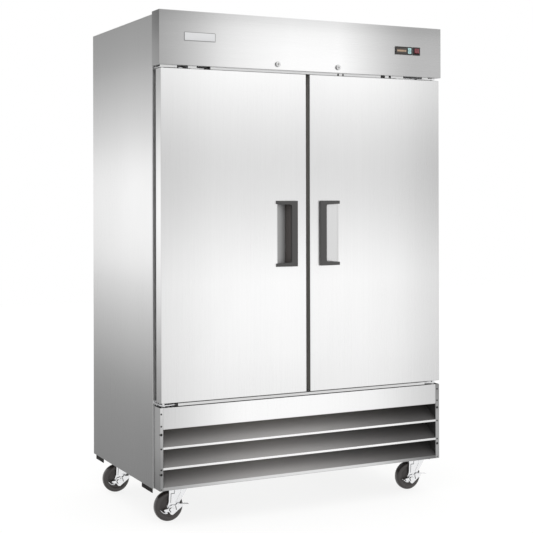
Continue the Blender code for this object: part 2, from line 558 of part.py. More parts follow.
# ------------------------------------------------------------------ casters
def caster(tag, x, y):
    """Swivel caster about the vertical axis at x, y, its axle trailing toward -X."""
    axle_x, axle_z = axle = (x - TRAIL, WHEEL_R)
    plate = box("caster_plate_" + tag, x - 0.0340, x + 0.0340, y - 0.0460, y + 0.0460,
                PLATE_Z - 0.0040, PLATE_Z, ZINC)
    join(plate, cylinder("tool", (x, y), 0.0270, "Z", PLATE_Z - 0.0150, PLATE_Z - 0.0030))
    join(plate, cylinder("tool", (x, y), 0.0055, "Z", 0.1290, PLATE_Z - 0.0100, 12))

    # fork: two tapering legs, crown plate, axle bolt and the brake pivot
    pivot = (axle_x + BRAKE_PIVOT[0], axle_z + BRAKE_PIVOT[1])
    leg = shifted(FORK_LEG, axle_x, 0.0)
    fork = prism("caster_fork_" + tag, leg, "Y", y - 0.0230, y - 0.0200, ZINC)
    join(fork, prism("tool", leg, "Y", y + 0.0200, y + 0.0230))
    join(fork, box("tool", axle_x - 0.0035, x + 0.0375, y - 0.0229, y + 0.0229,
                   CROWN_Z0, CROWN_Z1 - 0.0002))
    join(fork, cylinder("tool", axle, 0.0050, "Y", y - 0.0262, y + 0.0262, 12))
    cut(fork, cylinder("tool", (x, y), 0.0062, "Z", 0.1300, 0.1600, 16))
    join(fork, cylinder("tool", pivot, 0.0030, "Y", y - 0.0290, y - 0.0215, 10))

    profile = ([(radius, y - offset) for radius, offset in WHEEL_HALF]
               + [(radius, y + offset) for radius, offset in reversed(WHEEL_HALF)])
    lathe("caster_wheel_" + tag, profile, axle, "Y", WHEEL_STEPS, TYRE)

    # brake: a stamped lever in front of the fork with a pedal and a release tab
    brake = prism("caster_brake_" + tag, shifted(BRAKE_LEVER, *axle), "Y",
                  y - 0.0285, y - 0.0265, ZINC)
    for points, reach in ((BRAKE_PEDAL, 0.0460), (RELEASE_TAB, 0.0420)):
        join(brake, prism("tool", shifted(points, *axle), "Y", y - reach, y - 0.0267))
    cut(brake, cylinder("tool", pivot, 0.0034, "Y", y - 0.0400, y - 0.0100, 16))


# ------------------------------------------------------------------ shelves
def shelf(name, x0, x1, y0, y1, z0, z1, columns=9, rim=0.0080, bar=0.0100):
    """Rimmed plate with two rows of long openings."""
    pitch = (x1 - x0 - 2 * rim + bar) / columns
    xs = [x0]
    for i in range(columns):
        start = x0 + rim + i * pitch
        xs += [start, start + pitch - bar]
    xs.append(x1)
    middle = (y0 + y1) / 2
    ys = [y0, y0 + rim, middle - rim / 2, middle + rim / 2, y1 - rim, y1]
    bm = bmesh.new()
    grid = {(i, j, k): bm.verts.new((x, y, z)) for k, z in enumerate((z0, z1))
            for i, x in enumerate(xs) for j, y in enumerate(ys)}

    def solid(i, j):
        inside = 0 <= i < len(xs) - 1 and 0 <= j < len(ys) - 1
        return inside and not (i % 2 == 1 and j in (1, 3))

    # step to each neighbouring cell, and the corners of the edge shared with it
    edges = (((-1, 0), (0, 0), (0, 1)), ((1, 0), (1, 0), (1, 1)),
             ((0, -1), (0, 0), (1, 0)), ((0, 1), (0, 1), (1, 1)))
    for i, j in ((i, j) for i in range(len(xs) - 1) for j in range(len(ys) - 1)):
        if not solid(i, j):
            continue
        for k in (0, 1):
            bm.faces.new((grid[i, j, k], grid[i + 1, j, k],
                          grid[i + 1, j + 1, k], grid[i, j + 1, k]))
        for (di, dj), (ai, aj), (bi, bj) in edges:
            if not solid(i + di, j + dj):
                a, b = (i + ai, j + aj), (i + bi, j + bj)
                bm.faces.new((grid[*a, 0], grid[*b, 0], grid[*b, 1], grid[*a, 1]))
    bmesh.ops.dissolve_limit(bm, angle_limit=0.01, verts=bm.verts[:], edges=bm.edges[:])
    make(name, bm, WIRE)


# ------------------------------------------------- evaporator and condenser
def fan(name, centre, y, radius, mat):
    """Axial fan: hub with five flat pitched blades."""
    blades, pitch = 5, math.radians(90 - 20)
    hub = cylinder(name, centre, radius * 0.30, "Y", y - 0.0013, y + 0.0251, 18, mat,
                   phase=0.37)
    outline = [(along * radius, across * radius) for along, across in FAN_BLADE]
    for i in range(blades):
        blade = prism("tool", outline, "Z", -0.0010, 0.0010)
        blade.data.transform(
            Matrix.Translation((centre[0], y + 0.0120, centre[1]))
            @ Matrix.Rotation(2 * math.pi * (i + 0.13) / blades, 4, "Y")
            @ Matrix.Rotation(pitch, 4, "X"))
        join(hub, blade)


def evaporator():
    """Open-topped cover below the ceiling, with a fan hole and bottom slots."""
    x, y0, y1 = 0.4300, Y_FACE + 0.0900, Y_FACE + 0.4700
    z0 = 1.7650
    z1 = CAV_Z1 - 0.0030
    t = LINER_SHEET
    centre = (0.0, 1.8450)
    cover = box("evaporator_cover", -x, x, y0, y1, z0, z1, LINER)
    cut(cover, box("tool", -x + t, x - t, y0 + t, y1 - t, z0 + t, z1 + OVER))
    cut(cover, cylinder("tool", centre, 0.0640, "Y", y0 - OVER, y0 + OVER))
    for i in range(7):
        slot_x = -0.3300 + i * 0.1000
        cut(cover, box("tool", slot_x, slot_x + 0.0600, y0 + 0.1000, y0 + 0.3000,
                       z0 - OVER, z0 + OVER))
    fan("evaporator_fan", centre, y0 + 0.0120, 0.0600, FAN_PLASTIC)


def condensing_unit():
    """Tray holding the coil, its fan and the compressor."""
    x, y0, y1 = 0.6000, Y_FACE + 0.0100, Y_BACK - 0.0100
    top = TRAY_Z + 0.0200
    tray = box("unit_tray", -x, x, y0, y1, TRAY_Z, top, GALVANISED)
    cut(tray, box("tool", -x + SHEET, x - SHEET, y0 + SHEET, y1 - SHEET,
                  TRAY_Z + SHEET, top + OVER))
    centre, coil_back = (0.2200, UNIT_Z + 0.1300), Y_FACE + 0.1200
    coil = box("condenser_coil", 0.0400, 0.4000, Y_FACE + 0.0500, coil_back,
               UNIT_Z, UNIT_Z + 0.2600, COIL)
    cut(coil, cylinder("tool", centre, 0.1120, "Y", Y_FACE + 0.0850, coil_back + OVER, 32))
    fan("condenser_fan", centre, Y_FACE + 0.0890, 0.1060, BLACK_PAINT)
    turned("compressor", shifted(COMPRESSOR, 0.0, UNIT_Z), (-0.1700, Y_FACE + 0.4300),
           "Z", 24, BLACK_PAINT)


# ------------------------------------------------------------------ assembly
casing()
header_panel()
controls()
rocker()
for side, hand in SIDES:
    lock(side, hand)
for side, hand in SIDES:
    door(side, hand)
louver_panel()
base_frame()
for tag, (x, y) in CASTERS.items():
    caster(tag, x, y)
for side, hand in SIDES:
    x0, x1 = sorted((side * 0.0300, side * (CAV_X - 0.0150)))
    for level, z in SHELF_Z.items():
        shelf(f"shelf_{hand}_{level}", x0, x1, Y_FACE + 0.0600, CAV_Y1 - 0.0150,
              z, z + 0.0070)
evaporator()
condensing_unit()
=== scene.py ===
"""Looks of a two-door reach-in refrigerator on casters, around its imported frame.

Metres, +Z up, the front faces -Y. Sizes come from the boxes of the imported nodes.
"""
import math
import bpy
import bmesh
from mathutils import Vector, Matrix


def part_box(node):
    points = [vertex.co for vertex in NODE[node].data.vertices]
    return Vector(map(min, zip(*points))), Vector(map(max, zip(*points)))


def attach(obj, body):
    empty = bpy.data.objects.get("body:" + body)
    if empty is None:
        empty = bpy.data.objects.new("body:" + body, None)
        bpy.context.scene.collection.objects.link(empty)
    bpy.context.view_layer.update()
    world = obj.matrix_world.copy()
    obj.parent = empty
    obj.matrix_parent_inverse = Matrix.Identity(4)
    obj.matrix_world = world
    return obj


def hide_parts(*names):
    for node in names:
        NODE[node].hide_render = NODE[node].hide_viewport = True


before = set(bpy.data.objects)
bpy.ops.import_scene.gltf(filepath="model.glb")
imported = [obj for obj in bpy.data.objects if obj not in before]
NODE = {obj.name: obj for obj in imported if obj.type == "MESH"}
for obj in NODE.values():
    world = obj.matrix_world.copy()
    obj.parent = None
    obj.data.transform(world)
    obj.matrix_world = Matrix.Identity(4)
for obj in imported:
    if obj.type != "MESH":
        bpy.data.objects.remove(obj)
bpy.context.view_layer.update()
COL = bpy.context.scene.collection

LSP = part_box("left_side_panel")
XS, YF, YB, ZB, ZC = -LSP[0].x, LSP[0].y, LSP[1].y, LSP[0].z, LSP[1].z
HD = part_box("header_panel")
HY, HZ0, HZ1 = HD[0].y, HD[0].z, HD[1].z
DOOR = {"left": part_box("door_skin_left"), "right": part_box("door_skin_right")}
DY0, DY1 = DOOR["left"][0].y, DOOR["left"][1].y
DZ0, DZ1 = DOOR["left"][0].z, DOOR["left"][1].z
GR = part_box("louver_panel")
GY, GX, GZ0, GZ1 = GR[0].y, GR[1].x, GR[0].z, GR[1].z
T = 0.0015
SIDES = ((-1, "left"), (1, "right"))


# =================================================================== materials
def lin(v):
    v = v / 255.0
    return v / 12.92 if v <= 0.04045 else ((v + 0.055) / 1.055) ** 2.4


class Mat:
    """A procedural material: a Principled shader and short node helpers."""

    def __init__(self, name, color=(0.8, 0.8, 0.8), rough=0.5, metal=0.0, spec=0.5):
        self.m = bpy.data.materials.new(name)
        self.m.use_nodes = True
        self.t = self.m.node_tree
        self.b = self.t.nodes["Principled BSDF"]
        self.tc = self.t.nodes.new("ShaderNodeTexCoord")
        self.color = color
        self.b.inputs["Base Color"].default_value = (*color, 1)
        self.b.inputs["Roughness"].default_value = rough
        self.b.inputs["Metallic"].default_value = metal
        self.b.inputs["Specular IOR Level"].default_value = spec
        self.m.diffuse_color = (*color, 1)

    def put(self, sock, v):
        if isinstance(v, bpy.types.NodeSocket):
            self.t.links.new(v, sock)
        else:
            sock.default_value = v

    def math(self, op, a, b=0.0, c=0.0, clamp=False):
        n = self.t.nodes.new("ShaderNodeMath")
        n.operation = op
        n.use_clamp = clamp
        for i, v in enumerate((a, b, c)):
            self.put(n.inputs[i], v)
        return n.outputs[0]

    def axes(self, which="Object"):
        n = self.t.nodes.new("ShaderNodeSeparateXYZ")
        self.t.links.new(self.tc.outputs[which], n.inputs[0])
        return n.outputs

    def noise(self, scale, detail=2.0, rough=0.55, distort=0.0):
        mp = self.t.nodes.new("ShaderNodeMapping")
        mp.inputs["Scale"].default_value = scale
        self.t.links.new(self.tc.outputs["Object"], mp.inputs["Vector"])
        n = self.t.nodes.new("ShaderNodeTexNoise")
        n.inputs["Scale"].default_value = 1.0
        n.inputs["Detail"].default_value = detail
        n.inputs["Roughness"].default_value = rough
        n.inputs["Distortion"].default_value = distort
        self.t.links.new(mp.outputs[0], n.inputs["Vector"])
        return n.outputs["Fac"]

    def cells(self, scale, feature="F1"):
        mp = self.t.nodes.new("ShaderNodeMapping")
        mp.inputs["Scale"].default_value = scale
        self.t.links.new(self.tc.outputs["Object"], mp.inputs["Vector"])
        n = self.t.nodes.new("ShaderNodeTexVoronoi")
        n.feature = feature
        n.inputs["Scale"].default_value = 1.0
        self.t.links.new(mp.outputs[0], n.inputs["Vector"])
        return n.outputs["Color"]

    def ramp(self, x, stops, interp="CARDINAL"):
        """Value of a curve through (position, value) stops, in real units."""
        a, b = stops[0][0], stops[-1][0]
        mr = self.t.nodes.new("ShaderNodeMapRange")
        self.put(mr.inputs["Value"], x)
        mr.inputs["From Min"].default_value = a
        mr.inputs["From Max"].default_value = b
        r = self.t.nodes.new("ShaderNodeValToRGB")
        r.color_ramp.interpolation = interp
        e = r.color_ramp.elements
        for i, (p, v) in enumerate(stops):
            q = (p - a) / (b - a)
            if i < 2:
                el = e[i]
                el.position = q
            else:
                el = e.new(q)
            el.color = (v, v, v, 1)
        self.t.links.new(mr.outputs[0], r.inputs[0])
        return r.outputs["Color"]

    def mix(self, f, a, b):
        """a where f is 0, b where f is 1."""
        return self.math("ADD", self.math("MULTIPLY", a, self.math("SUBTRACT", 1.0, f)), self.math("MULTIPLY", b, f))

    def grey(self, v, tint=(1, 1, 1)):
        n = self.t.nodes.new("ShaderNodeCombineXYZ")
        for i in range(3):
            self.put(n.inputs[i], self.math("MULTIPLY", v, tint[i], clamp=True))
        return n.outputs[0]

    def vary(self, fac, amount, sock="Base Color"):
        """The colour lightened and darkened by a texture value."""
        n = self.t.nodes.new("ShaderNodeCombineXYZ")
        k = self.math("MULTIPLY_ADD", self.math("SUBTRACT", fac, 0.5), amount, 1.0)
        for i in range(3):
            self.put(n.inputs[i], self.math("MULTIPLY", k, self.color[i], clamp=True))
        self.put(self.b.inputs[sock], n.outputs[0])

    def bump(self, h, strength=0.2, distance=0.0003):
        n = self.t.nodes.new("ShaderNodeBump")
        n.inputs["Strength"].default_value = strength
        n.inputs["Distance"].default_value = distance
        self.put(n.inputs["Height"], h)
        self.put(self.b.inputs["Normal"], n.outputs[0])


def srgb(stops):
    return [(p, v / 255.0) for p, v in stops]


def steel(name, grain="Z", level=238, front=None, up=None, side=None, top=225, back=None, rough=0.29,
          fine=0.050, streak=0.016, cloud=0.026, tint=(1.0, 1.0, 1.0), share=1.0):
    """Brushed stainless sheet with painted light. Tones are display greys that paint the studio reflections and shade
    into the base colour: front over x, up a factor over z, side over z, back a factor over y, top a grey for faces
    turned up.
    """
    M = Mat(name, (0.8, 0.8, 0.8), rough, share)
    x, y, z = M.axes()
    nx, ny, nz = M.axes("Normal")
    t = M.ramp(x, srgb(front)) if front else level / 255.0
    if up:
        t = M.math("MULTIPLY", t, M.ramp(z, up))
    if side:
        f = M.math("POWER", M.math("ABSOLUTE", nx), 2.0, clamp=True)
        s = M.ramp(z, srgb(side))
        if back:
            s = M.math("MULTIPLY", s, M.ramp(y, back))
        t = M.mix(f, t, s)
    if top:
        f = M.math("POWER", M.math("ABSOLUTE", nz), 2.0, clamp=True)
        t = M.mix(f, t, top / 255.0)
    stretch = {"X": (5.0, 1400.0, 1400.0), "Y": (1400.0, 5.0, 1400.0), "Z": (1400.0, 1400.0, 5.0)}[grain]
    wide = {"X": (0.8, 150.0, 150.0), "Y": (150.0, 0.8, 150.0), "Z": (150.0, 150.0, 0.8)}[grain]
    g, w, c = M.noise(stretch, 3.0, 0.6), M.noise(wide, 2.0), M.noise((2.2, 2.2, 2.2), 3.0, 0.6, 0.4)
    k = M.math("MULTIPLY_ADD", M.math("SUBTRACT", g, 0.5), fine, 1.0)
    k = M.math("MULTIPLY_ADD", M.math("SUBTRACT", w, 0.5), streak, k)
    k = M.math("MULTIPLY_ADD", M.math("SUBTRACT", c, 0.5), cloud, k)
    t = M.math("MULTIPLY", t, k)
    v = M.math("POWER", M.math("DIVIDE", M.math("ADD", t, 0.055), 1.055), 2.4)
    M.put(M.b.inputs["Base Color"], M.grey(v, tint))
    r = M.math("MULTIPLY_ADD", M.math("SUBTRACT", g, 0.5), 0.10, rough)
    r = M.math("MULTIPLY_ADD", M.math("SUBTRACT", c, 0.5), 0.06, r)
    M.put(M.b.inputs["Roughness"], r)
    M.bump(g, 0.10, 0.00008)
    return M.m


# Painted light: these ramps are display greys (and factors) over position that paint the studio reflections and shade
# onto each steel panel; the left and right doors carry different painted gradients.
SIDE_PAINTED_LIGHT = [(0.15, 108), (0.58, 144), (0.98, 216), (1.28, 243), (1.55, 224), (1.86, 170), (2.09, 138)]
DOOR_SIDE_PAINTED_LIGHT = [(0.51, 146), (0.85, 205), (1.22, 248), (1.55, 226), (1.86, 172)]
DOOR_UP_PAINTED_LIGHT = [(0.51, 0.99), (0.98, 1.0), (1.47, 0.885), (1.86, 0.995)]
HEAD_X_PAINTED_LIGHT = [(-0.686, 172), (-0.42, 227), (-0.10, 254), (0.17, 252), (0.46, 198), (0.686, 188)]
HEAD_UP_PAINTED_LIGHT = [(1.87, 1.02), (1.95, 1.0), (2.04, 0.96), (2.092, 0.89)]
DOORL_X_PAINTED_LIGHT = [(-0.678, 234), (-0.46, 248), (-0.18, 253), (0.0, 253)]
DOORR_X_PAINTED_LIGHT = [(0.0, 251), (0.284, 250), (0.493, 240), (0.678, 223)]
BAND_X_PAINTED_LIGHT = [(-0.681, 208), (-0.36, 251), (0.0, 254), (0.37, 241), (0.681, 208)]
GRILLE_SIDE_PAINTED_SHADE = [(0.15, 95), (0.30, 132), (0.50, 145)]

M_SIDE = steel("side_steel", "Z", 215, side=SIDE_PAINTED_LIGHT, top=200, back=[(YF, 1.05), (YF + 0.15, 1.01), (YB, 0.955)], cloud=0.035)
M_HEAD = steel("header_steel", "X", front=HEAD_X_PAINTED_LIGHT, up=HEAD_UP_PAINTED_LIGHT, side=[(1.87, 144), (1.98, 126), (2.092, 94)], top=205)
M_DOOR_L = steel("door_steel_left", "Z", front=DOORL_X_PAINTED_LIGHT, up=DOOR_UP_PAINTED_LIGHT, side=DOOR_SIDE_PAINTED_LIGHT, top=215)
M_DOOR_R = steel("door_steel_right", "Z", front=DOORR_X_PAINTED_LIGHT, up=DOOR_UP_PAINTED_LIGHT, side=DOOR_SIDE_PAINTED_LIGHT, top=215)
# Painted shade: the left recess is a shaded copy of the right one, its grey falling from 178 to 128 towards the grip
# bar.
M_SCOOP_L = steel("recess_steel_left", "Z", front=[(-0.150, 178), (-0.120, 166), (-0.090, 128)], top=150, rough=0.40, share=0.15)
M_SCOOP_R = steel("recess_steel_right", "Z", 226, rough=0.24)
M_BAND = steel("band_steel", "Z", front=BAND_X_PAINTED_LIGHT, side=GRILLE_SIDE_PAINTED_SHADE, top=215)
# Painted light: the grille flanges are lit and shaded copies, the right one a darker grey, each with its own painted
# factor over z.
M_FLANGE_L = steel("flange_steel_left", "Z", 226, up=[(0.15, 0.64), (0.30, 0.70), (0.50, 0.97)], side=GRILLE_SIDE_PAINTED_SHADE, top=190, rough=0.3)
M_FLANGE_R = steel("flange_steel_right", "Z", 166, up=[(0.15, 0.96), (0.30, 1.04), (0.50, 0.84)], side=GRILLE_SIDE_PAINTED_SHADE, top=190, rough=0.3)
# Painted shade: the louvre blades darken towards the right and carry a brownish tint for the shade they sit in.
BLADE_X_PAINTED_SHADE = [(-0.67, 138), (-0.20, 176), (0.20, 152), (0.45, 110), (0.67, 86)]
M_BLADE = steel("blade_steel", "X", front=BLADE_X_PAINTED_SHADE, top=None, rough=0.46, share=0.12, tint=(1.0, 0.975, 0.965))
# Painted highlight: the louvre lips are white across the middle.
LIP_X_PAINTED_HIGHLIGHT = [(-0.67, 232), (-0.35, 255), (0.35, 255), (0.67, 222)]
M_LIP = steel("lip_steel", "X", front=LIP_X_PAINTED_HIGHLIGHT, top=225, rough=0.25)
# Painted shade: the end plates inside the louvres are a dark grey.
M_ENDPLATE = steel("endplate_steel", "Z", 72, top=70, side=[(0.15, 66), (0.5, 66)], rough=0.45, share=0.15)
# Painted light: the bottom rail's grey rises to 222 in the middle and falls to 112 at the right end.
M_RAIL = steel("rail_steel", "X", front=[(-0.67, 172), (-0.30, 222), (0.35, 212), (0.67, 112)], top=150, rough=0.3)
M_SILL = steel("sill_steel", "X", 222, top=205, rough=0.34, share=0.7)
M_FRAME = steel("frame_steel", "Z", 205, top=190, side=[(0.5, 190), (2.08, 200)], rough=0.32)
M_TOP = steel("top_steel", "Y", 225, top=222, rough=0.33)
# Painted shade: the lock rim's sides and top are darker greys than its face.
M_LOCKRIM = steel("lock_rim_metal", "X", 236, side=[(1.8, 78), (2.0, 78)], top=120, rough=0.28, share=0.6)
# Painted shade: the doors' meeting edges darken towards the front face, by the factor over y.
M_EDGE = steel("door_edge_satin", "Z", 205, side=[(0.5, 205), (1.86, 205)], top=150, back=[(DY0, 0.46), (DY0 + 0.015, 0.70), (DY0 + 0.032, 0.95)], rough=0.6, share=0.0, tint=(1.0, 0.975, 0.92))
M_PLATE = steel("plate_alloy", "X", 226, top=200, side=[(1.96, 190), (2.01, 190)], rough=0.34, tint=(0.985, 0.99, 1.0))
M_PLATE_RIM = steel("plate_rim_alloy", "X", 150, top=140, rough=0.3)


def metal(name, color, rough, spot=0.10, scale=260.0, bump=0.05, rvar=0.12):
    M = Mat(name, color, rough, 1.0)
    n, c = M.noise((scale,) * 3, 3.0, 0.6), M.noise((18.0,) * 3, 3.0, 0.6)
    M.vary(M.math("MULTIPLY_ADD", n, 0.5, M.math("MULTIPLY", c, 0.5)), spot * 2)
    M.put(M.b.inputs["Roughness"], M.math("MULTIPLY_ADD", M.math("SUBTRACT", c, 0.5), rvar, rough))
    M.bump(n, bump, 0.0002)
    return M.m


def galvanised(name, level=0.56):
    M = Mat(name, (level, level * 1.01, level * 1.025), 0.42, 1.0)
    sp = M.t.nodes.new("ShaderNodeSeparateXYZ")
    M.t.links.new(M.cells((70.0, 70.0, 70.0)), sp.inputs[0])
    M.vary(sp.outputs[0], 0.22)
    M.put(M.b.inputs["Roughness"], M.math("MULTIPLY_ADD", M.math("SUBTRACT", sp.outputs[1], 0.5), 0.18, 0.42))
    M.bump(M.noise((400.0,) * 3, 2.0), 0.05, 0.0002)
    return M.m


def plastic(name, color, rough, pebble=0.12, scale=1500.0, amount=0.12, spec=0.5, coat=0.0):
    M = Mat(name, color, rough, 0.0, spec)
    n, c = M.noise((scale,) * 3, 2.0), M.noise((25.0,) * 3, 3.0, 0.6)
    M.vary(M.math("MULTIPLY_ADD", n, 0.4, M.math("MULTIPLY", c, 0.6)), amount)
    M.put(M.b.inputs["Roughness"], M.math("MULTIPLY_ADD", M.math("SUBTRACT", c, 0.5), 0.16, rough))
    M.bump(n, pebble, 0.0002)
    if coat:
        M.b.inputs["Coat Weight"].default_value = coat
        M.b.inputs["Coat Roughness"].default_value = 0.08
    return M.m


M_ZINC = metal("bright_zinc", (0.88, 0.885, 0.895), 0.26)
M_CHROME = metal("lock_chrome", (0.78, 0.78, 0.78), 0.14, 0.04, 500.0, 0.02)
M_LOCKFACE = metal("lock_face_metal", (0.86, 0.86, 0.85), 0.24, 0.05, 600.0, 0.03)
M_GALV = galvanised("galvanised_sheet")
M_GRIP = plastic("charcoal_grip", (0.060, 0.0585, 0.0575), 0.42, 0.10, 1800.0)
M_GRIP_IN = plastic("charcoal_grip_wall", (0.074, 0.066, 0.063), 0.50, 0.10, 1800.0)
M_BEZEL = plastic("bezel_black", (0.022, 0.019, 0.018), 0.38)
M_RUBBER = plastic("gasket_rubber", (0.115, 0.110, 0.100), 0.62, 0.15, 900.0)
M_TYRE = plastic("tyre_rubber", (0.040, 0.0335, 0.0315), 0.30, 0.05, 500.0, 0.22, 0.5, 0.25)
M_HUB = plastic("wheel_core", (0.040, 0.0335, 0.0315), 0.40, 0.06, 800.0, 0.2)
M_PAINT = plastic("frame_black_paint", (0.0075, 0.0060, 0.0055), 0.62, 0.16, 420.0, 0.2, 0.08)
M_NYLON = plastic("black_nylon", (0.012, 0.011, 0.010), 0.5)
M_COMP = plastic("compressor_black", (0.018, 0.018, 0.019), 0.30, 0.22, 260.0, 0.2, 0.5, 0.3)
M_FANP = plastic("fan_white_plastic", (0.70, 0.70, 0.68), 0.42, 0.05)
M_FANB = plastic("fan_black_blade", (0.03, 0.03, 0.032), 0.38, 0.05)
M_CORD = plastic("cord_black", (0.020, 0.020, 0.021), 0.5, 0.05)
M_AQUA = plastic("key_aqua", (lin(176), lin(214), lin(214)), 0.42, 0.06, 2500.0, 0.08)
M_KEYMARK = plastic("key_mark_grey", (0.13, 0.17, 0.18), 0.5)
M_RED = plastic("rocker_red", (0.19, 0.028, 0.040), 0.34, 0.04, 2500.0, 0.15, 0.5, 0.3)
M_REDMARK = plastic("rocker_mark", (0.05, 0.008, 0.010), 0.4)
M_LENS = plastic("window_brown", (0.030, 0.020, 0.014), 0.12, 0.01, 300.0, 0.2, 0.5, 0.7)
M_AMBER = plastic("window_bar_tan", (0.42, 0.30, 0.20), 0.35, 0.02, 900.0, 0.25, 0.5, 0.4)
M_DIGIT = plastic("window_digits", (0.26, 0.17, 0.11), 0.4)
M_FOAM = plastic("foam_core", (0.62, 0.54, 0.36), 0.9, 0.6, 600.0, 0.2)
M_WIRE = metal("shelf_coat", (0.80, 0.81, 0.82), 0.20, 0.05, 400.0, 0.04)
M_FIN = metal("fin_aluminium", (0.66, 0.67, 0.68), 0.34, 0.12, 300.0)
M_COPPER = metal("copper_tube", (0.72, 0.35, 0.20), 0.28, 0.18, 120.0)
M_BRASS = metal("brass_fitting", (0.70, 0.53, 0.25), 0.28, 0.12, 150.0)
M_INSUL = plastic("pipe_insulation", (0.025, 0.025, 0.026), 0.8, 0.5, 700.0)
M_WELD = metal("weld_seam", (0.10, 0.10, 0.105), 0.4, 0.2, 300.0, 0.3)
M_LAMP = plastic("lamp_cover", (0.86, 0.86, 0.83), 0.35, 0.03)


def liner_metal():
    M = Mat("liner_aluminium", (0.72, 0.73, 0.74), 0.36, 1.0)
    n = M.noise((900.0, 900.0, 6.0), 3.0, 0.6)
    c = M.noise((3.0,) * 3, 3.0, 0.6)
    dimple = M.cells((160.0, 160.0, 160.0))
    M.vary(M.math("MULTIPLY_ADD", n, 0.4, M.math("MULTIPLY", c, 0.6)), 0.10)
    M.put(M.b.inputs["Roughness"], M.math("MULTIPLY_ADD", c, 0.12, 0.30))
    sp = M.t.nodes.new("ShaderNodeSeparateXYZ")
    M.t.links.new(dimple, sp.inputs[0])
    M.bump(sp.outputs[0], 0.05, 0.0002)
    return M.m


M_LINER = liner_metal()
M_PAN = steel("inner_pan_steel", "Z", 222, top=205, side=[(0.5, 190), (1.86, 215)], rough=0.34)


# ============================================================== mesh builders
AXES = {"X": (Vector((0, 1, 0)), Vector((0, 0, 1)), Vector((1, 0, 0))),
        "Y": (Vector((1, 0, 0)), Vector((0, 0, 1)), Vector((0, 1, 0))),
        "Z": (Vector((1, 0, 0)), Vector((0, 1, 0)), Vector((0, 0, 1)))}


def fillet(pts, rad, n=4):
    """Outline with its corners rounded; rad is one radius or one per corner."""
    out, k = [], len(pts)
    for i, p in enumerate(pts):
        r = rad[i] if isinstance(rad, (list, tuple)) else rad
        a, b, c = Vector(pts[i - 1]), Vector(p), Vector(pts[(i + 1) % k])
        u, v = (a - b), (c - b)
        lu, lv = u.length, v.length
        if r <= 0 or lu < 1e-7 or lv < 1e-7:
            out.append((b.x, b.y))
            continue
        u, v = u / lu, v / lv
        ang = u.angle(v)
        if ang > math.pi - 0.02:
            out.append((b.x, b.y))
            continue
        d = min(r / math.tan(ang / 2), lu * 0.49, lv * 0.49)
        r = d * math.tan(ang / 2)
        cen = b + (u + v).normalized() * (r / math.sin(ang / 2))
        p1, p2 = b + u * d - cen, b + v * d - cen
        a1, a2 = math.atan2(p1.y, p1.x), math.atan2(p2.y, p2.x)
        da = (a2 - a1 + math.pi) % (2 * math.pi) - math.pi
        for j in range(n + 1):
            t = a1 + da * j / n
            out.append((cen.x + r * math.cos(t), cen.y + r * math.sin(t)))
    return out


def rrect(x0, x1, y0, y1, r, n=4):
    return fillet([(x0, y0), (x1, y0), (x1, y1), (x0, y1)], r, n)


def add_box(bm, x0, x1, y0, y1, z0, z1):
    lo = Vector((min(x0, x1), min(y0, y1), min(z0, z1)))
    hi = Vector((max(x0, x1), max(y0, y1), max(z0, z1)))
    vs = [bm.verts.new((hi.x if i & 1 else lo.x, hi.y if i & 2 else lo.y, hi.z if i & 4 else lo.z)) for i in range(8)]
    for f in ((0, 2, 3, 1), (4, 5, 7, 6), (0, 1, 5, 4), (2, 6, 7, 3), (0, 4, 6, 2), (1, 3, 7, 5)):
        bm.faces.new([vs[i] for i in f])


def add_prism(bm, pts, axis, a, b):
    u, v, w = AXES[axis]
    lo = [bm.verts.new(u * p[0] + v * p[1] + w * a) for p in pts]
    hi = [bm.verts.new(u * p[0] + v * p[1] + w * b) for p in pts]
    k = len(pts)
    bm.faces.new(lo[::-1])
    bm.faces.new(hi)
    for i in range(k):
        j = (i + 1) % k
        bm.faces.new((lo[i], lo[j], hi[j], hi[i]))


def add_lathe(bm, prof, c, axis, n=32, phase=0.0):
    """Turned shape. A profile point with radius 0 becomes one vertex on the axis."""
    u, v, w = AXES[axis]
    o = u * c[0] + v * c[1]
    rings = []
    for r, a in prof:
        if r < 1e-7:
            rings.append([bm.verts.new(o + w * a)])
        else:
            rings.append([bm.verts.new(o + (u * math.cos(2 * math.pi * (i + phase) / n) + v * math.sin(2 * math.pi * (i + phase) / n)) * r + w * a)
                          for i in range(n)])
    closed = len(rings[0]) > 1 and len(rings[-1]) > 1
    pairs = list(zip(rings, rings[1:])) + ([(rings[-1], rings[0])] if closed else [])
    for p, q in pairs:
        for i in range(n):
            j = (i + 1) % n
            if len(p) == 1 and len(q) == 1:
                break
            if len(p) == 1:
                bm.faces.new((p[0], q[j], q[i]))
            elif len(q) == 1:
                bm.faces.new((p[i], p[j], q[0]))
            else:
                bm.faces.new((p[i], p[j], q[j], q[i]))


def bend(points, r, n=5):
    """Path whose corners are rounded."""
    pts = [Vector(p) for p in points]
    out = [pts[0]]
    for a, b, c in zip(pts, pts[1:], pts[2:]):
        d = min(r, (a - b).length * 0.45, (c - b).length * 0.45)
        p, q = b + (a - b).normalized() * d, b + (c - b).normalized() * d
        for j in range(n + 1):
            t = j / n
            out.append(p * (1 - t) ** 2 + b * 2 * t * (1 - t) + q * t ** 2)
    out.append(pts[-1])
    return out


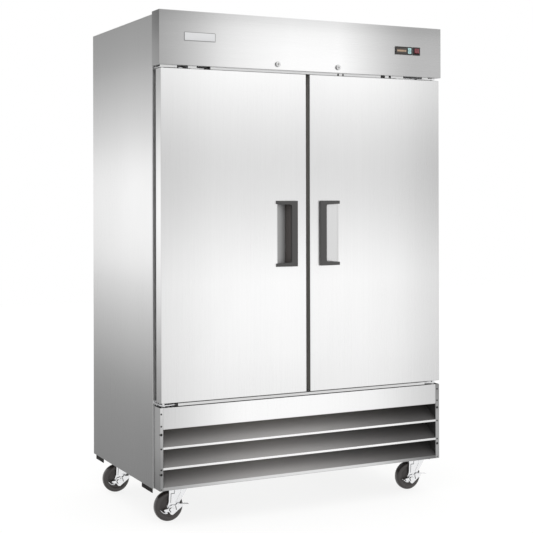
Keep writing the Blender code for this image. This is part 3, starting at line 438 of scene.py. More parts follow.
def add_tube(bm, path, r, n=8, closed=False):
    path = [Vector(p) for p in path]
    k = len(path)
    rings = []
    side = None
    for i in range(k):
        if closed:
            d = path[(i + 1) % k] - path[i - 1]
        else:
            d = path[min(i + 1, k - 1)] - path[max(i - 1, 0)]
        d.normalize()
        if side is None:
            side = d.orthogonal().normalized()
        side = (side - d * side.dot(d)).normalized()
        other = d.cross(side)
        rings.append([bm.verts.new(path[i] + (side * math.cos(2 * math.pi * j / n) + other * math.sin(2 * math.pi * j / n)) * r) for j in range(n)])
    for i in range(k if closed else k - 1):
        p, q = rings[i], rings[(i + 1) % k]
        for j in range(n):
            m = (j + 1) % n
            bm.faces.new((p[j], p[m], q[m], q[j]))
    if not closed:
        bm.faces.new(rings[0][::-1])
        bm.faces.new(rings[-1])


def add_loop(bm, x0, x1, z0, z1, prof):
    """Closed section (inset, y) carried round a rectangle, mitred at its corners."""
    rings = [[bm.verts.new((a, y, b)) for a, b in ((x0 + d, z0 + d), (x1 - d, z0 + d), (x1 - d, z1 - d), (x0 + d, z1 - d))] for d, y in prof]
    k = len(prof)
    for i in range(k):
        p, q = rings[i], rings[(i + 1) % k]
        for j in range(4):
            m = (j + 1) % 4
            bm.faces.new((p[j], p[m], q[m], q[j]))


def add_loft(bm, levels, n=5):
    """Closed solid through rounded rectangles (x0, x1, z0, z1, r, y)."""
    rings = [[bm.verts.new((p[0], y, p[1])) for p in rrect(x0, x1, z0, z1, r, n)] for x0, x1, z0, z1, r, y in levels]
    for p, q in zip(rings, rings[1:]):
        k = len(p)
        for i in range(k):
            j = (i + 1) % k
            bm.faces.new((p[i], p[j], q[j], q[i]))
    bm.faces.new(rings[0])
    bm.faces.new(rings[-1])


def add_plate(bm, us, vs, hole, place):
    """Plate over a grid of cuts, open where hole(i, j); place(u, v, k) gives the two skins."""
    vert = {}

    def at(i, j, k):
        if (i, j, k) not in vert:
            vert[i, j, k] = bm.verts.new(place(us[i], vs[j], k))
        return vert[i, j, k]

    def solid(i, j):
        return 0 <= i < len(us) - 1 and 0 <= j < len(vs) - 1 and not hole(i, j)
    for i in range(len(us) - 1):
        for j in range(len(vs) - 1):
            if not solid(i, j):
                continue
            for k in (0, 1):
                bm.faces.new((at(i, j, k), at(i + 1, j, k), at(i + 1, j + 1, k), at(i, j + 1, k)))
            for di, dj, p, q in ((-1, 0, (0, 0), (0, 1)), (1, 0, (1, 0), (1, 1)), (0, -1, (0, 0), (1, 0)), (0, 1, (0, 1), (1, 1))):
                if not solid(i + di, j + dj):
                    a, b = (i + p[0], j + p[1]), (i + q[0], j + q[1])
                    bm.faces.new((at(*a, 0), at(*b, 0), at(*b, 1), at(*a, 1)))


def dress(ob, mat, body, bevel=0.0, seg=2, angle=38, rep=()):
    me = ob.data
    me.materials.clear()
    for m in (mat if isinstance(mat, (list, tuple)) else [mat]):
        me.materials.append(m)
    me.shade_smooth()
    me.set_sharp_from_angle(angle=math.radians(angle))
    if bevel:
        b = ob.modifiers.new("edges", "BEVEL")
        b.width, b.segments, b.limit_method, b.angle_limit = bevel, seg, "ANGLE", math.radians(angle)
        w = ob.modifiers.new("normals", "WEIGHTED_NORMAL")
        w.keep_sharp = True
    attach(ob, body)
    if rep:
        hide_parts(*rep)
    return ob


def mesh(name, bm):
    bmesh.ops.recalc_face_normals(bm, faces=bm.faces[:])
    me = bpy.data.meshes.new(name)
    bm.to_mesh(me)
    bm.free()
    ob = bpy.data.objects.new(name, me)
    COL.objects.link(ob)
    return ob


def piece(name, bm, mat, body, bevel=0.0, seg=2, angle=38, rep=()):
    return dress(mesh(name, bm), mat, body, bevel, seg, angle, rep)


def new_box(*a):
    bm = bmesh.new()
    add_box(bm, *a)
    return bm


def new_prism(*a):
    bm = bmesh.new()
    add_prism(bm, *a)
    return bm


def new_lathe(*a, **k):
    bm = bmesh.new()
    add_lathe(bm, *a, **k)
    return bm


def boolean(ob, bm, op="DIFFERENCE"):
    tool = bm if isinstance(bm, bpy.types.Object) else mesh("tool", bm)
    md = ob.modifiers.new("b", "BOOLEAN")
    md.operation, md.object, md.solver = op, tool, "EXACT"
    dg = bpy.context.evaluated_depsgraph_get()
    dg.update()
    me = bpy.data.meshes.new_from_object(ob.evaluated_get(dg))
    ob.modifiers.clear()
    old, ob.data = ob.data, me
    bpy.data.meshes.remove(old)
    bpy.data.objects.remove(tool, do_unlink=True)
    return ob


def bake(ob, kind, **kw):
    """Applies one modifier at once."""
    md = ob.modifiers.new("m", kind)
    for k, v in kw.items():
        setattr(md, k, v)
    dg = bpy.context.evaluated_depsgraph_get()
    dg.update()
    me = bpy.data.meshes.new_from_object(ob.evaluated_get(dg))
    ob.modifiers.clear()
    old, ob.data = ob.data, me
    bpy.data.meshes.remove(old)
    return ob


# one screw head, copied wherever a screw sits: pan head with a cross recess
_s = mesh("screw_head", new_lathe([(0, 0), (1.0, 0), (1.0, 0.10), (0.93, 0.26), (0.75, 0.40), (0.45, 0.49), (0, 0.52)], (0, 0), "Z", 20))
for _a in (0, 1):
    _b = new_box(-0.10, 0.10, -0.52, 0.52, 0.26, 0.9) if _a else new_box(-0.52, 0.52, -0.10, 0.10, 0.26, 0.9)
    boolean(_s, _b)
SCREW = _s.data.copy()
bpy.data.objects.remove(_s, do_unlink=True)
# one hexagonal bolt head with its washer
_h = bmesh.new()
add_lathe(_h, [(0, 0), (1.25, 0), (1.25, 0.16), (0, 0.16)], (0, 0), "Z", 24)
add_prism(_h, [(0.98 * math.cos(math.pi * i / 3), 0.98 * math.sin(math.pi * i / 3)) for i in range(6)], "Z", 0.16, 0.80)
add_lathe(_h, [(0, 0.80), (0.80, 0.80), (0.70, 0.88), (0, 0.90)], (0, 0), "Z", 18)
_o = mesh("bolt_head", _h)
BOLT = _o.data.copy()
bpy.data.objects.remove(_o, do_unlink=True)


def stamp(bm, me, at, normal, r, twist=0.0):
    n0 = len(bm.verts)
    bm.from_mesh(me)
    bm.verts.ensure_lookup_table()
    q = Vector(normal).to_track_quat("Z", "Y").to_matrix().to_4x4()
    m = Matrix.Translation(Vector(at)) @ q @ Matrix.Rotation(twist, 4, "Z") @ Matrix.Scale(r, 4)
    bmesh.ops.transform(bm, matrix=m, verts=bm.verts[n0:])


def fasteners(name, spots, mat, body, me=None):
    bm = bmesh.new()
    for i, (at, normal, r) in enumerate(spots):
        stamp(bm, me or SCREW, at, normal, r, 0.35 + 1.1 * i)
    return piece(name, bm, mat, body)


def node(name, mat, bevel=0.0, seg=2, angle=38, slot=None):
    """A carried-over CAD node: its own mesh, a made material, and rounded edges."""
    ob = NODE[name]
    for i in range(max(1, len(ob.material_slots))):
        if len(ob.material_slots) <= i:
            ob.data.materials.append(mat)
        ob.material_slots[i].material = mat
    ob.data.shade_smooth()
    ob.data.set_sharp_from_angle(angle=math.radians(angle))
    if bevel:
        w = ob.modifiers.new("weld", "WELD")
        w.merge_threshold = 0.00002
        b = ob.modifiers.new("edges", "BEVEL")
        b.width, b.segments, b.limit_method, b.angle_limit = bevel, seg, "ANGLE", math.radians(angle)
        w = ob.modifiers.new("normals", "WEIGHTED_NORMAL")
        w.keep_sharp = True
    return ob


# ============================================================== cabinet casing
for s, side in SIDES:
    y0, y1, x = YF, YB, XS
    pts = fillet([(x, y0), (x, y1), (x - 0.022, y1), (x - 0.022, y1 - T), (x - T, y1 - T), (x - T, y0 + T), (x - 0.040, y0 + T), (x - 0.040, y0)],
                 [0.0028, 0.0028, 0, 0, 0.0013, 0.0013, 0, 0], 5)
    ob = mesh("side_panel_" + side, new_prism([(s * p[0], p[1]) for p in pts], "Z", ZB, ZC))
    boolean(ob, new_box(s * (x - 0.060), s * (x - 0.0165), y0 - 0.01, y0 + 0.01, ZB - 0.01, GZ1 + 0.004))
    dress(ob, M_SIDE, "cabinet", 0.0004, 2, rep=[side + "_side_panel"])
    # hemmed lower edge
    bm = bmesh.new()
    add_prism(bm, fillet([(s * (x - T), ZB), (s * (x - 0.016), ZB), (s * (x - 0.016), ZB + T), (s * (x - T), ZB + T)], 0), "Y", YF + 0.004, YB - 0.004)
    piece("side_hem_" + side, bm, M_SIDE, "cabinet", 0.0003)

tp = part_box("top_panel")
ob = mesh("top_cover", new_box(tp[0].x, tp[1].x, tp[0].y, tp[1].y, tp[0].z, tp[1].z))
dress(ob, M_TOP, "cabinet", 0.0005, 2, rep=["top_panel"])
bm = bmesh.new()
add_box(bm, -XS + 0.004, XS - 0.004, YF + 0.002, YB - 0.002, ZC + 0.0001, tp[0].z - 0.0001)
piece("top_seam", bm, M_RUBBER, "cabinet")
fasteners("top_screws", [((sx * 0.672, y, tp[1].z), (0, 0, 1), 0.0032) for sx in (-1, 1) for y in (YF + 0.05, -0.10, 0.10, 0.25, YB - 0.03)]
          + [((x, YB - 0.014, tp[1].z), (0, 0, 1), 0.0032) for x in (-0.40, -0.13, 0.13, 0.40)], M_ZINC, "cabinet")

# ------------------------------------------------------------------- header
head = mesh("header_cover", new_box(-XS, XS, HY, HD[1].y, HZ0, HZ1))
bm = bmesh.new()
bm.from_mesh(head.data)
edges = [e for e in bm.edges if min(v.co.y for v in e.verts) < HY + 1e-5]
bmesh.ops.bevel(bm, geom=edges, offset=0.0026, segments=4, profile=0.5, affect="EDGES")
bm.to_mesh(head.data)
bm.free()
boolean(head, new_box(-XS + T, XS - T, HY + T, YF + 0.01, HZ0 + T, HZ1 - T))
boolean(head, new_box(-XS + T, XS - T, YF - 0.0060, YF + 0.01, HZ0 - 0.01, HZ0 + 0.02))
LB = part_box("lock_body_right")
LX, LZ = (LB[0].x + LB[1].x) / 2, (LB[0].z + LB[1].z) / 2
CB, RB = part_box("control_bezel"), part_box("rocker_bezel")
for s in (-1, 1):
    boolean(head, new_lathe([(0, HY - 0.01), (0.0094, HY - 0.01), (0.0094, HY + 0.01), (0, HY + 0.01)], (s * LX, LZ), "Y", 32))
    boolean(head, new_box(s * LX - 0.012, s * LX + 0.052, YF - 0.0560, YF - 0.0420, HZ0 - 0.01, HZ0 + 0.01))
for b in (CB, RB):
    boolean(head, new_box(b[0].x + 0.004, b[1].x - 0.004, HY - 0.01, HY + 0.01, b[0].z + 0.004, b[1].z - 0.004))
# slots pressed through the underside, over the hinges
for a, b in ((-0.601, -0.557), (-0.515, -0.495), (-0.490, -0.459), (0.374, 0.4635), (0.495, 0.5865)):
    boolean(head, new_prism(rrect(a, b, HY + 0.012, HY + 0.026, 0.0035, 3), "Z", HZ0 - 0.01, HZ0 + 0.01))
dress(head, M_HEAD, "cabinet", 0.0, rep=["header_panel"])
# black boxes inside the header over each slot: painted shade seen through the slots
bm = bmesh.new()
for a, b in ((-0.606, -0.552), (-0.519, -0.455), (0.369, 0.468), (0.490, 0.592)):
    add_box(bm, a, b, HY + 0.008, HY + 0.030, HZ0 + T + 0.0002, HZ0 + 0.016)
piece("hinge_slot_shade", bm, M_NYLON, "cabinet", 0.0006)

# blank badge plate: pale plate in a plain rim
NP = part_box("name_plate")
bm = bmesh.new()
x0, x1, z0, z1 = NP[0].x, NP[1].x, NP[0].z, NP[1].z
add_loft(bm, [(x0, x1, z0, z1, 0.0030, NP[1].y), (x0, x1, z0, z1, 0.0030, NP[0].y + 0.0003),
              (x0 + 0.0004, x1 - 0.0004, z0 + 0.0004, z1 - 0.0004, 0.0028, NP[0].y),
              (x0 + 0.0018, x1 - 0.0018, z0 + 0.0018, z1 - 0.0018, 0.0022, NP[0].y),
              (x0 + 0.0021, x1 - 0.0021, z0 + 0.0021, z1 - 0.0021, 0.0020, NP[0].y + 0.0004)])
piece("badge_rim", bm, M_PLATE_RIM, "cabinet", rep=["name_plate"])
bm = bmesh.new()
add_loft(bm, [(x0 + 0.0024, x1 - 0.0024, z0 + 0.0024, z1 - 0.0024, 0.0018, NP[0].y + 0.0003),
              (x0 + 0.0024, x1 - 0.0024, z0 + 0.0024, z1 - 0.0024, 0.0018, NP[0].y - 0.0002),
              (x0 + 0.0030, x1 - 0.0030, z0 + 0.0030, z1 - 0.0030, 0.0014, NP[0].y - 0.0005)])
piece("badge_face", bm, M_PLATE, "cabinet")

# ------------------------------------------------------------------ controls
x0, x1, z0, z1 = CB[0].x, CB[1].x, CB[0].z, CB[1].z
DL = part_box("display_lens")
KU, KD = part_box("button_up"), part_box("button_down")
bez = mesh("control_frame", new_prism(rrect(x0, x1, z0, z1, 0.0016), "Y", CB[0].y, HY - 0.0003))
boolean(bez, new_box(DL[0].x - 0.0003, DL[1].x + 0.0003, CB[0].y - 0.01, CB[0].y + 0.0026, DL[0].z - 0.0003, DL[1].z + 0.0003))
for k in (KU, KD):
    boolean(bez, new_box(k[0].x - 0.0004, k[1].x + 0.0004, CB[0].y - 0.01, HY + 0.01, k[0].z - 0.0004, k[1].z + 0.0004))
dress(bez, M_BEZEL, "cabinet", 0.0004, 2, rep=["control_bezel"])
bm = bmesh.new()
add_box(bm, x0 + 0.0050, DL[1].x, HY + 0.0002, HY + 0.0340, z0 + 0.0050, z1 - 0.0050)
piece("control_box", bm, M_BEZEL, "cabinet", 0.0006)
bm = bmesh.new()
add_loft(bm, [(DL[0].x, DL[1].x, DL[0].z, DL[1].z, 0.0010, CB[0].y + 0.0024), (DL[0].x, DL[1].x, DL[0].z, DL[1].z, 0.0010, DL[0].y + 0.0009),
              (DL[0].x + 0.0006, DL[1].x - 0.0006, DL[0].z + 0.0006, DL[1].z - 0.0006, 0.0008, DL[0].y + 0.0005)])
piece("display_window", bm, M_LENS, "cabinet", rep=["display_lens"])
zc = (DL[0].z + DL[1].z) / 2 - 0.0006
bm = bmesh.new()
add_loft(bm, [(DL[0].x + 0.0038, DL[1].x - 0.0042, zc - 0.0040, zc + 0.0040, 0.0008, DL[0].y + 0.0008),
              (DL[0].x + 0.0038, DL[1].x - 0.0042, zc - 0.0040, zc + 0.0040, 0.0008, DL[0].y + 0.0003),
              (DL[0].x + 0.0041, DL[1].x - 0.0045, zc - 0.0037, zc + 0.0037, 0.0006, DL[0].y + 0.0001)])
piece("display_bar", bm, M_AMBER, "cabinet")
# two plain seven-segment digits in the bar
bm = bmesh.new()
SEG = {"3": "abcdg", "8": "abcdefg"}


def digit(bm, x, z, w, h, y, segs):
    t = w * 0.18
    for k in segs:
        r = {"a": (0, w, h - t, h), "g": (0, w, h / 2 - t / 2, h / 2 + t / 2), "d": (0, w, 0, t), "f": (0, t, h / 2, h), "b": (w - t, w, h / 2, h),
             "e": (0, t, 0, h / 2), "c": (w - t, w, 0, h / 2)}[k]
        e = {"a": 1, "g": 2, "d": 3, "f": 4, "b": 5, "e": 6, "c": 7}[k] * 0.000004
        add_box(bm, x + r[0], x + r[1], y - 0.00022 - e, y + 0.0002, z + r[2], z + r[3])


for i, ch in enumerate("38"):
    digit(bm, DL[1].x - 0.0190 + i * 0.0046, zc - 0.0023, 0.0030, 0.0046, DL[0].y + 0.0001, SEG[ch])
piece("display_digits", bm, M_DIGIT, "cabinet")
for nm, k, d in (("up", KU, 1), ("down", KD, -1)):
    node("button_" + nm, M_AQUA, 0.0006, 3)
    cx, cz = (k[0].x + k[1].x) / 2, (k[0].z + k[1].z) / 2
    bm = new_prism(fillet([(cx - 0.0030, cz - d * 0.0019), (cx + 0.0030, cz - d * 0.0019), (cx, cz + d * 0.0024)], 0.0004, 3), "Y", k[0].y - 0.0002, k[0].y + 0.0004)
    piece("key_arrow_" + nm, bm, M_KEYMARK, "key_" + nm)
x0, x1, z0, z1 = RB[0].x, RB[1].x, RB[0].z, RB[1].z
ob = mesh("rocker_frame", new_prism(rrect(x0, x1, z0, z1, 0.0016), "Y", RB[0].y, HY - 0.0003))
boolean(ob, new_box(x0 + 0.0058, x1 - 0.0058, HY - 0.02, HY + 0.01, z0 + 0.0052, z1 - 0.0052))
dress(ob, M_BEZEL, "cabinet", 0.0005, 2, rep=["rocker_bezel"])
ob = mesh("rocker_housing", new_box(x0 + 0.0046, x1 - 0.0046, HY + 0.0002, HY + 0.0240, z0 + 0.0046, z1 - 0.0046))
boolean(ob, new_box(x0 + 0.0058, x1 - 0.0058, HY - 0.02, HY + 0.0190, z0 + 0.0052, z1 - 0.0052))
dress(ob, M_BEZEL, "cabinet")
node("rocker_switch", M_RED, 0.0007, 3, 30)
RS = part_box("rocker_switch")
xc, rz = (RS[0].x + RS[1].x) / 2, (z0 + z1) / 2
ry = HY + 0.0060


def rocked(y, z, a=math.radians(-8)):
    return (ry + (y - ry) * math.cos(a) - (z - rz) * math.sin(a), rz + (y - ry) * math.sin(a) + (z - rz) * math.cos(a))


bm = bmesh.new()
q = [rocked(ry - 0.0131 + e, rz + z) for e, z in ((0.0000, -0.0075), (0.0000, -0.0035), (0.0012, -0.0035), (0.0008, -0.0075))]
add_prism(bm, q, "X", xc - 0.0008, xc + 0.0008)
for a in range(12):
    t0, t1 = 2 * math.pi * a / 12, 2 * math.pi * (a + 1) / 12
    pts = [(xc + r * math.cos(t), rz + 0.0058 + r * math.sin(t)) for r, t in ((0.0017, t0), (0.0025, t0), (0.0025, t1), (0.0017, t1))]
    lo = [bm.verts.new((p[0], *rocked(ry - 0.0129, p[1]))) for p in pts]
    hi = [bm.verts.new((p[0], *rocked(ry - 0.0112, p[1]))) for p in pts]
    bm.faces.new(lo)
    bm.faces.new(hi)
    for i in range(4):
        j = (i + 1) % 4
        bm.faces.new((lo[i], lo[j], hi[j], hi[i]))
piece("rocker_marks", bm, M_REDMARK, "rocker")

for s, side in SIDES:
    node("lock_body_" + side, M_LOCKRIM, 0.0008, 3, 30)
    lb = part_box("lock_body_" + side)
    lx = (lb[0].x + lb[1].x) / 2
    piece("lock_shadow_ring_" + side, new_lathe([(0.0062, lb[0].y + 0.0010), (0.00635, lb[0].y + 0.0010), (0.00635, lb[0].y + 0.0060), (0.0062, lb[0].y + 0.0060)], (lx, LZ), "Y", 32), M_NYLON, "cabinet")
    # the keyway is a thin black plate on the plug's face: painted shade for the slot
    piece("lock_keyway_" + side, new_box(lx - 0.0012, lx + 0.0012, HY - 0.0102, HY - 0.0096, LZ - 0.0030, LZ + 0.0030), M_NYLON, "lock_" + side, 0.0001)
    node("lock_plug_" + side, M_LOCKFACE, 0.0003, 2, 45)

# ====================================================================== doors
for s, side in SIDES:
    lo, hi = DOOR[side]
    body = "door_" + side
    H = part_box("handle_" + side)
    hx0, hx1 = min(abs(H[0].x), abs(H[1].x)), max(abs(H[0].x), abs(H[1].x))
    hz0, hz1, hy0, hy1 = H[0].z, H[1].z, H[0].y, H[1].y
    rx0, rx1 = hx0 + 0.0050, hx1 - 0.0060
    rz0, rz1 = hz0 + 0.0050, hz1 - 0.0050
    pan = mesh("door_panel_" + side, new_box(lo.x, hi.x, lo.y, hi.y, lo.z, hi.z))
    bm = bmesh.new()
    bm.from_mesh(pan.data)
    edges = [e for e in bm.edges if min(v.co.y for v in e.verts) < lo.y + 1e-5]
    bmesh.ops.bevel(bm, geom=edges, offset=0.0028, segments=4, profile=0.5, affect="EDGES")
    bm.to_mesh(pan.data)
    bm.free()
    w_in = fillet([(rx0, lo.y - 0.02), (rx0, lo.y + 0.0400), (rx0 + 0.0120, lo.y + 0.0400), (rx1 - 0.0060, lo.y + 0.0042), (rx1, lo.y + 0.0004), (rx1, lo.y - 0.02)],
                  [0, 0.004, 0.010, 0.006, 0, 0], 5)
    w_out = [(rx0 - 0.0012, lo.y + 0.0002), (rx0 - 0.0012, lo.y + 0.0415), (rx0 + 0.0130, lo.y + 0.0415), (rx1 + 0.0030, lo.y + 0.0017), (rx1 + 0.0030, lo.y + 0.0002)]
    boolean(pan, new_prism([(s * p, q) for p, q in w_in], "Z", rz0, rz1))
    cav = mesh("cav", new_box(lo.x + T, hi.x - T, lo.y + T, hi.y + 0.01, lo.z + T, hi.z - T))
    boolean(cav, new_prism([(s * p, q) for p, q in w_out], "Z", rz0 - 0.0012, rz1 + 0.0012))
    boolean(pan, cav)
    cam = s * LX - 0.0110
    PX, PY = s * (abs(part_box("hinge_top_right")[1].x) - 0.0120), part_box("hinge_top_right")[0].y + 0.0130
    boolean(pan, new_box(cam, cam + 0.0520, HY + 0.0180, HY + 0.0295, hi.z - 0.0160, hi.z + 0.01))
    for za, zb in ((hi.z - 0.0260, hi.z + 0.01), (lo.z - 0.01, lo.z + 0.0260)):
        boolean(pan, new_lathe([(0, za), (0.0060, za), (0.0060, zb), (0, zb)], (PX, PY), "Z", 24))
    ob = dress(pan, M_DOOR_L if s < 0 else M_DOOR_R, body, 0.0, rep=["door_skin_" + side])
    ob.data.materials.append(M_SCOOP_L if s < 0 else M_SCOOP_R)
    for f in ob.data.polygons:
        c = f.center
        if rx0 - 0.002 < abs(c.x) < rx1 + 0.002 and rz0 - 0.002 < c.z < rz1 + 0.002 and lo.y + 0.0003 < c.y < lo.y + 0.0395:
            f.material_index = 1
    ob.data.materials.append(M_EDGE)
    inner = min(abs(lo.x), abs(hi.x))
    meet = [f for f in ob.data.polygons if abs(abs(f.center.x) - inner) < 0.0008 and abs(f.normal.x) > 0.9]
    if not meet:
        raise RuntimeError("no meeting edge found on door_panel_" + side)
    for f in meet:
        f.material_index = 2
    # inner pan, pressed, over the foam
    bm = bmesh.new()
    lv = [(0.0024, -0.0050, 0.003), (0.0024, 0.0006, 0.003), (0.0040, 0.0012, 0.004), (0.0400, 0.0012, 0.008), (0.0440, 0.0020, 0.010), (0.0475, 0.0068, 0.012),
          (0.0520, 0.0080, 0.014), (0.0780, 0.0080, 0.020), (0.0820, 0.0070, 0.022), (0.0870, 0.0036, 0.024), (0.0920, 0.0028, 0.026)]
    add_loft(bm, [(lo.x + d, hi.x - d, lo.z + d, hi.z - d, r, hi.y + y) for d, y, r in lv], 6)
    piece("door_inner_pan_" + side, bm, M_PAN, body, 0.0, rep=["door_core_" + side])
    # magnetic gasket: dart, bellows and magnet pocket
    g0, g1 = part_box("gasket_" + side)
    a, b = g0.y, g1.y
    prof = [(0.0020, a), (0.0180, a), (0.0182, a + 0.0016), (0.0135, a + 0.0024), (0.0118, a + 0.0040), (0.0150, a + 0.0058), (0.0150, a + 0.0074),
            (0.0125, a + 0.0090), (0.0172, a + 0.0102), (0.0178, a + 0.0115), (0.0178, b - 0.0012), (0.0168, b), (0.0032, b), (0.0022, b - 0.0012),
            (0.0022, a + 0.0115), (0.0028, a + 0.0102), (0.0075, a + 0.0090), (0.0050, a + 0.0074), (0.0050, a + 0.0058), (0.0082, a + 0.0040),
            (0.0065, a + 0.0024), (0.0018, a + 0.0016)]
    bm = bmesh.new()
    add_loop(bm, g0.x, g1.x, g0.z, g1.z, prof)
    piece("door_gasket_" + side, bm, M_RUBBER, body, rep=["gasket_" + side])
    # charcoal grip: a C with tapering arms, and a wall down into the recess
    bar = 0.0280
    c_out = fillet([(hx0, hz0), (hx1, hz0), (hx1, hz0 + 0.0135), (hx0 + bar, hz0 + 0.0165), (hx0 + bar, hz1 - 0.0165), (hx1, hz1 - 0.0135), (hx1, hz1), (hx0, hz1)],
                   [0.0015, 0.0012, 0.0012, 0.0065, 0.0065, 0.0012, 0.0012, 0.0015], 5)
    grip = mesh("grip_" + side, new_prism([(s * p, q) for p, q in c_out], "Y", hy0, lo.y - 0.0003))
    fall = [(hx0 + bar + 0.0040, hy0 - 0.01), (hx0 + bar + 0.0040, hy0 - 0.0001), (hx1 + 0.0100, lo.y - 0.0030), (hx1 + 0.0100, hy0 - 0.01)]
    boolean(grip, new_prism([(s * p, q) for p, q in fall], "Z", hz0 - 0.01, hz1 + 0.01))
    dress(grip, M_GRIP, body, 0.0012, 3, rep=["handle_" + side])
    wall = fillet([(hx0 + bar - 0.0060, hy0 + 0.0030), (hx0 + bar - 0.0002, hy0 + 0.0030), (hx0 + bar - 0.0002, lo.y + 0.0010), (hx0 + bar + 0.0122, lo.y + 0.0270),
                   (hx0 + bar + 0.0088, lo.y + 0.0270), (hx0 + bar - 0.0060, lo.y + 0.0010)], 0.0006, 2)
    bm = new_prism([(s * p, q) for p, q in wall], "Z", rz0 + 0.0040, rz1 - 0.0040)
    piece("grip_wall_" + side, bm, M_GRIP_IN, body, 0.0004)
    # hinge brackets
    for end in ("top", "bottom"):
        b0, b1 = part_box("hinge_%s_%s" % (end, side))
        zp = b0.z + 0.0240 if end == "top" else b0.z + 0.0415
        x_in, x_out = (b0.x, b1.x) if s > 0 else (b1.x, b0.x)
        outl = [(x_in, b0.y + 0.010), (x_in, b1.y), (x_out, b1.y), (x_out, b0.y)]
        rad = [0.004, 0, 0, 0.012]
        if end == "top":
            outl = [(x_in, b0.y + 0.022), (x_in, b1.y), (x_out, b1.y), (x_out, b0.y), (x_out - s * 0.060, b0.y), (x_out - s * 0.085, b0.y + 0.022)]
            rad = [0.004, 0, 0, 0.012, 0.008, 0.008]
        ob = mesh("hinge_plate_%s_%s" % (end, side), new_prism(fillet(outl, rad, 5), "Z", zp, zp + 0.0040))
        if end == "top":
            for k in (0.095, 0.135, 0.170):
                xc_ = x_out - s * k
                boolean(ob, new_prism(rrect(min(xc_ - 0.009, xc_ + 0.009), max(xc_ - 0.009, xc_ + 0.009), b1.y - 0.026, b1.y - 0.018, 0.0035, 4), "Z", zp - 0.01, zp + 0.02))
        dress(ob, M_ZINC, "cabinet", 0.0006, 2, rep=["hinge_%s_%s" % (end, side)])
        f0, f1 = (zp, b1.z) if end == "top" else (b0.z, zp + 0.0040)
        bm = new_prism(rrect(min(x_in, x_out), max(x_in, x_out), f0, f1, 0.003, 4), "Y", b1.y - 0.0032, b1.y)
        piece("hinge_leaf_%s_%s" % (end, side), bm, M_ZINC, "cabinet", 0.0004)
        tip = DZ1 - 0.0200 if end == "top" else DZ0 + 0.0200
        zz = [tip, zp + (0.0062 if end == "top" else -0.0022)]
        sg = 1 if zz[1] > zz[0] else -1
        bm = new_lathe([(0, zz[0]), (0.0040, zz[0]), (0.0052, zz[0] + sg * 0.0014), (0.0052, zz[1] - sg * 0.0022), (0.0085, zz[1] - sg * 0.0022), (0.0085, zz[1] - sg * 0.0004), (0.0078, zz[1]), (0, zz[1])],
                       (PX, PY), "Z", 28)
        piece("hinge_pin_%s_%s" % (end, side), bm, M_CHROME, "cabinet")
        zs = b1.z - 0.012 if end == "top" else b0.z + 0.014
        n = 5 if end == "top" else 2
        fasteners("hinge_screws_%s_%s" % (end, side), [((x_in + (x_out - x_in) * (i + 0.7) / (n + 0.4), b1.y - 0.0032, zs), (0, -1, 0), 0.0042) for i in range(n)], M_ZINC, "cabinet")
        # nylon bush the pin turns in, set in the door's edge
        za, zb = (DZ1 - 0.0230, DZ1 + 0.0012) if end == "top" else (DZ0 - 0.0012, DZ0 + 0.0230)
        bm = new_lathe([(0.0054, za), (0.0058, za), (0.0058, zb - 0.0012), (0.0095, zb - 0.0012), (0.0095, zb), (0.0054, zb)] if end == "top" else
                       [(0.0054, za), (0.0095, za), (0.0095, za + 0.0012), (0.0058, za + 0.0012), (0.0058, zb), (0.0054, zb)], (PX, PY), "Z", 28)
        piece("hinge_bush_%s_%s" % (end, side), bm, M_NYLON, body)

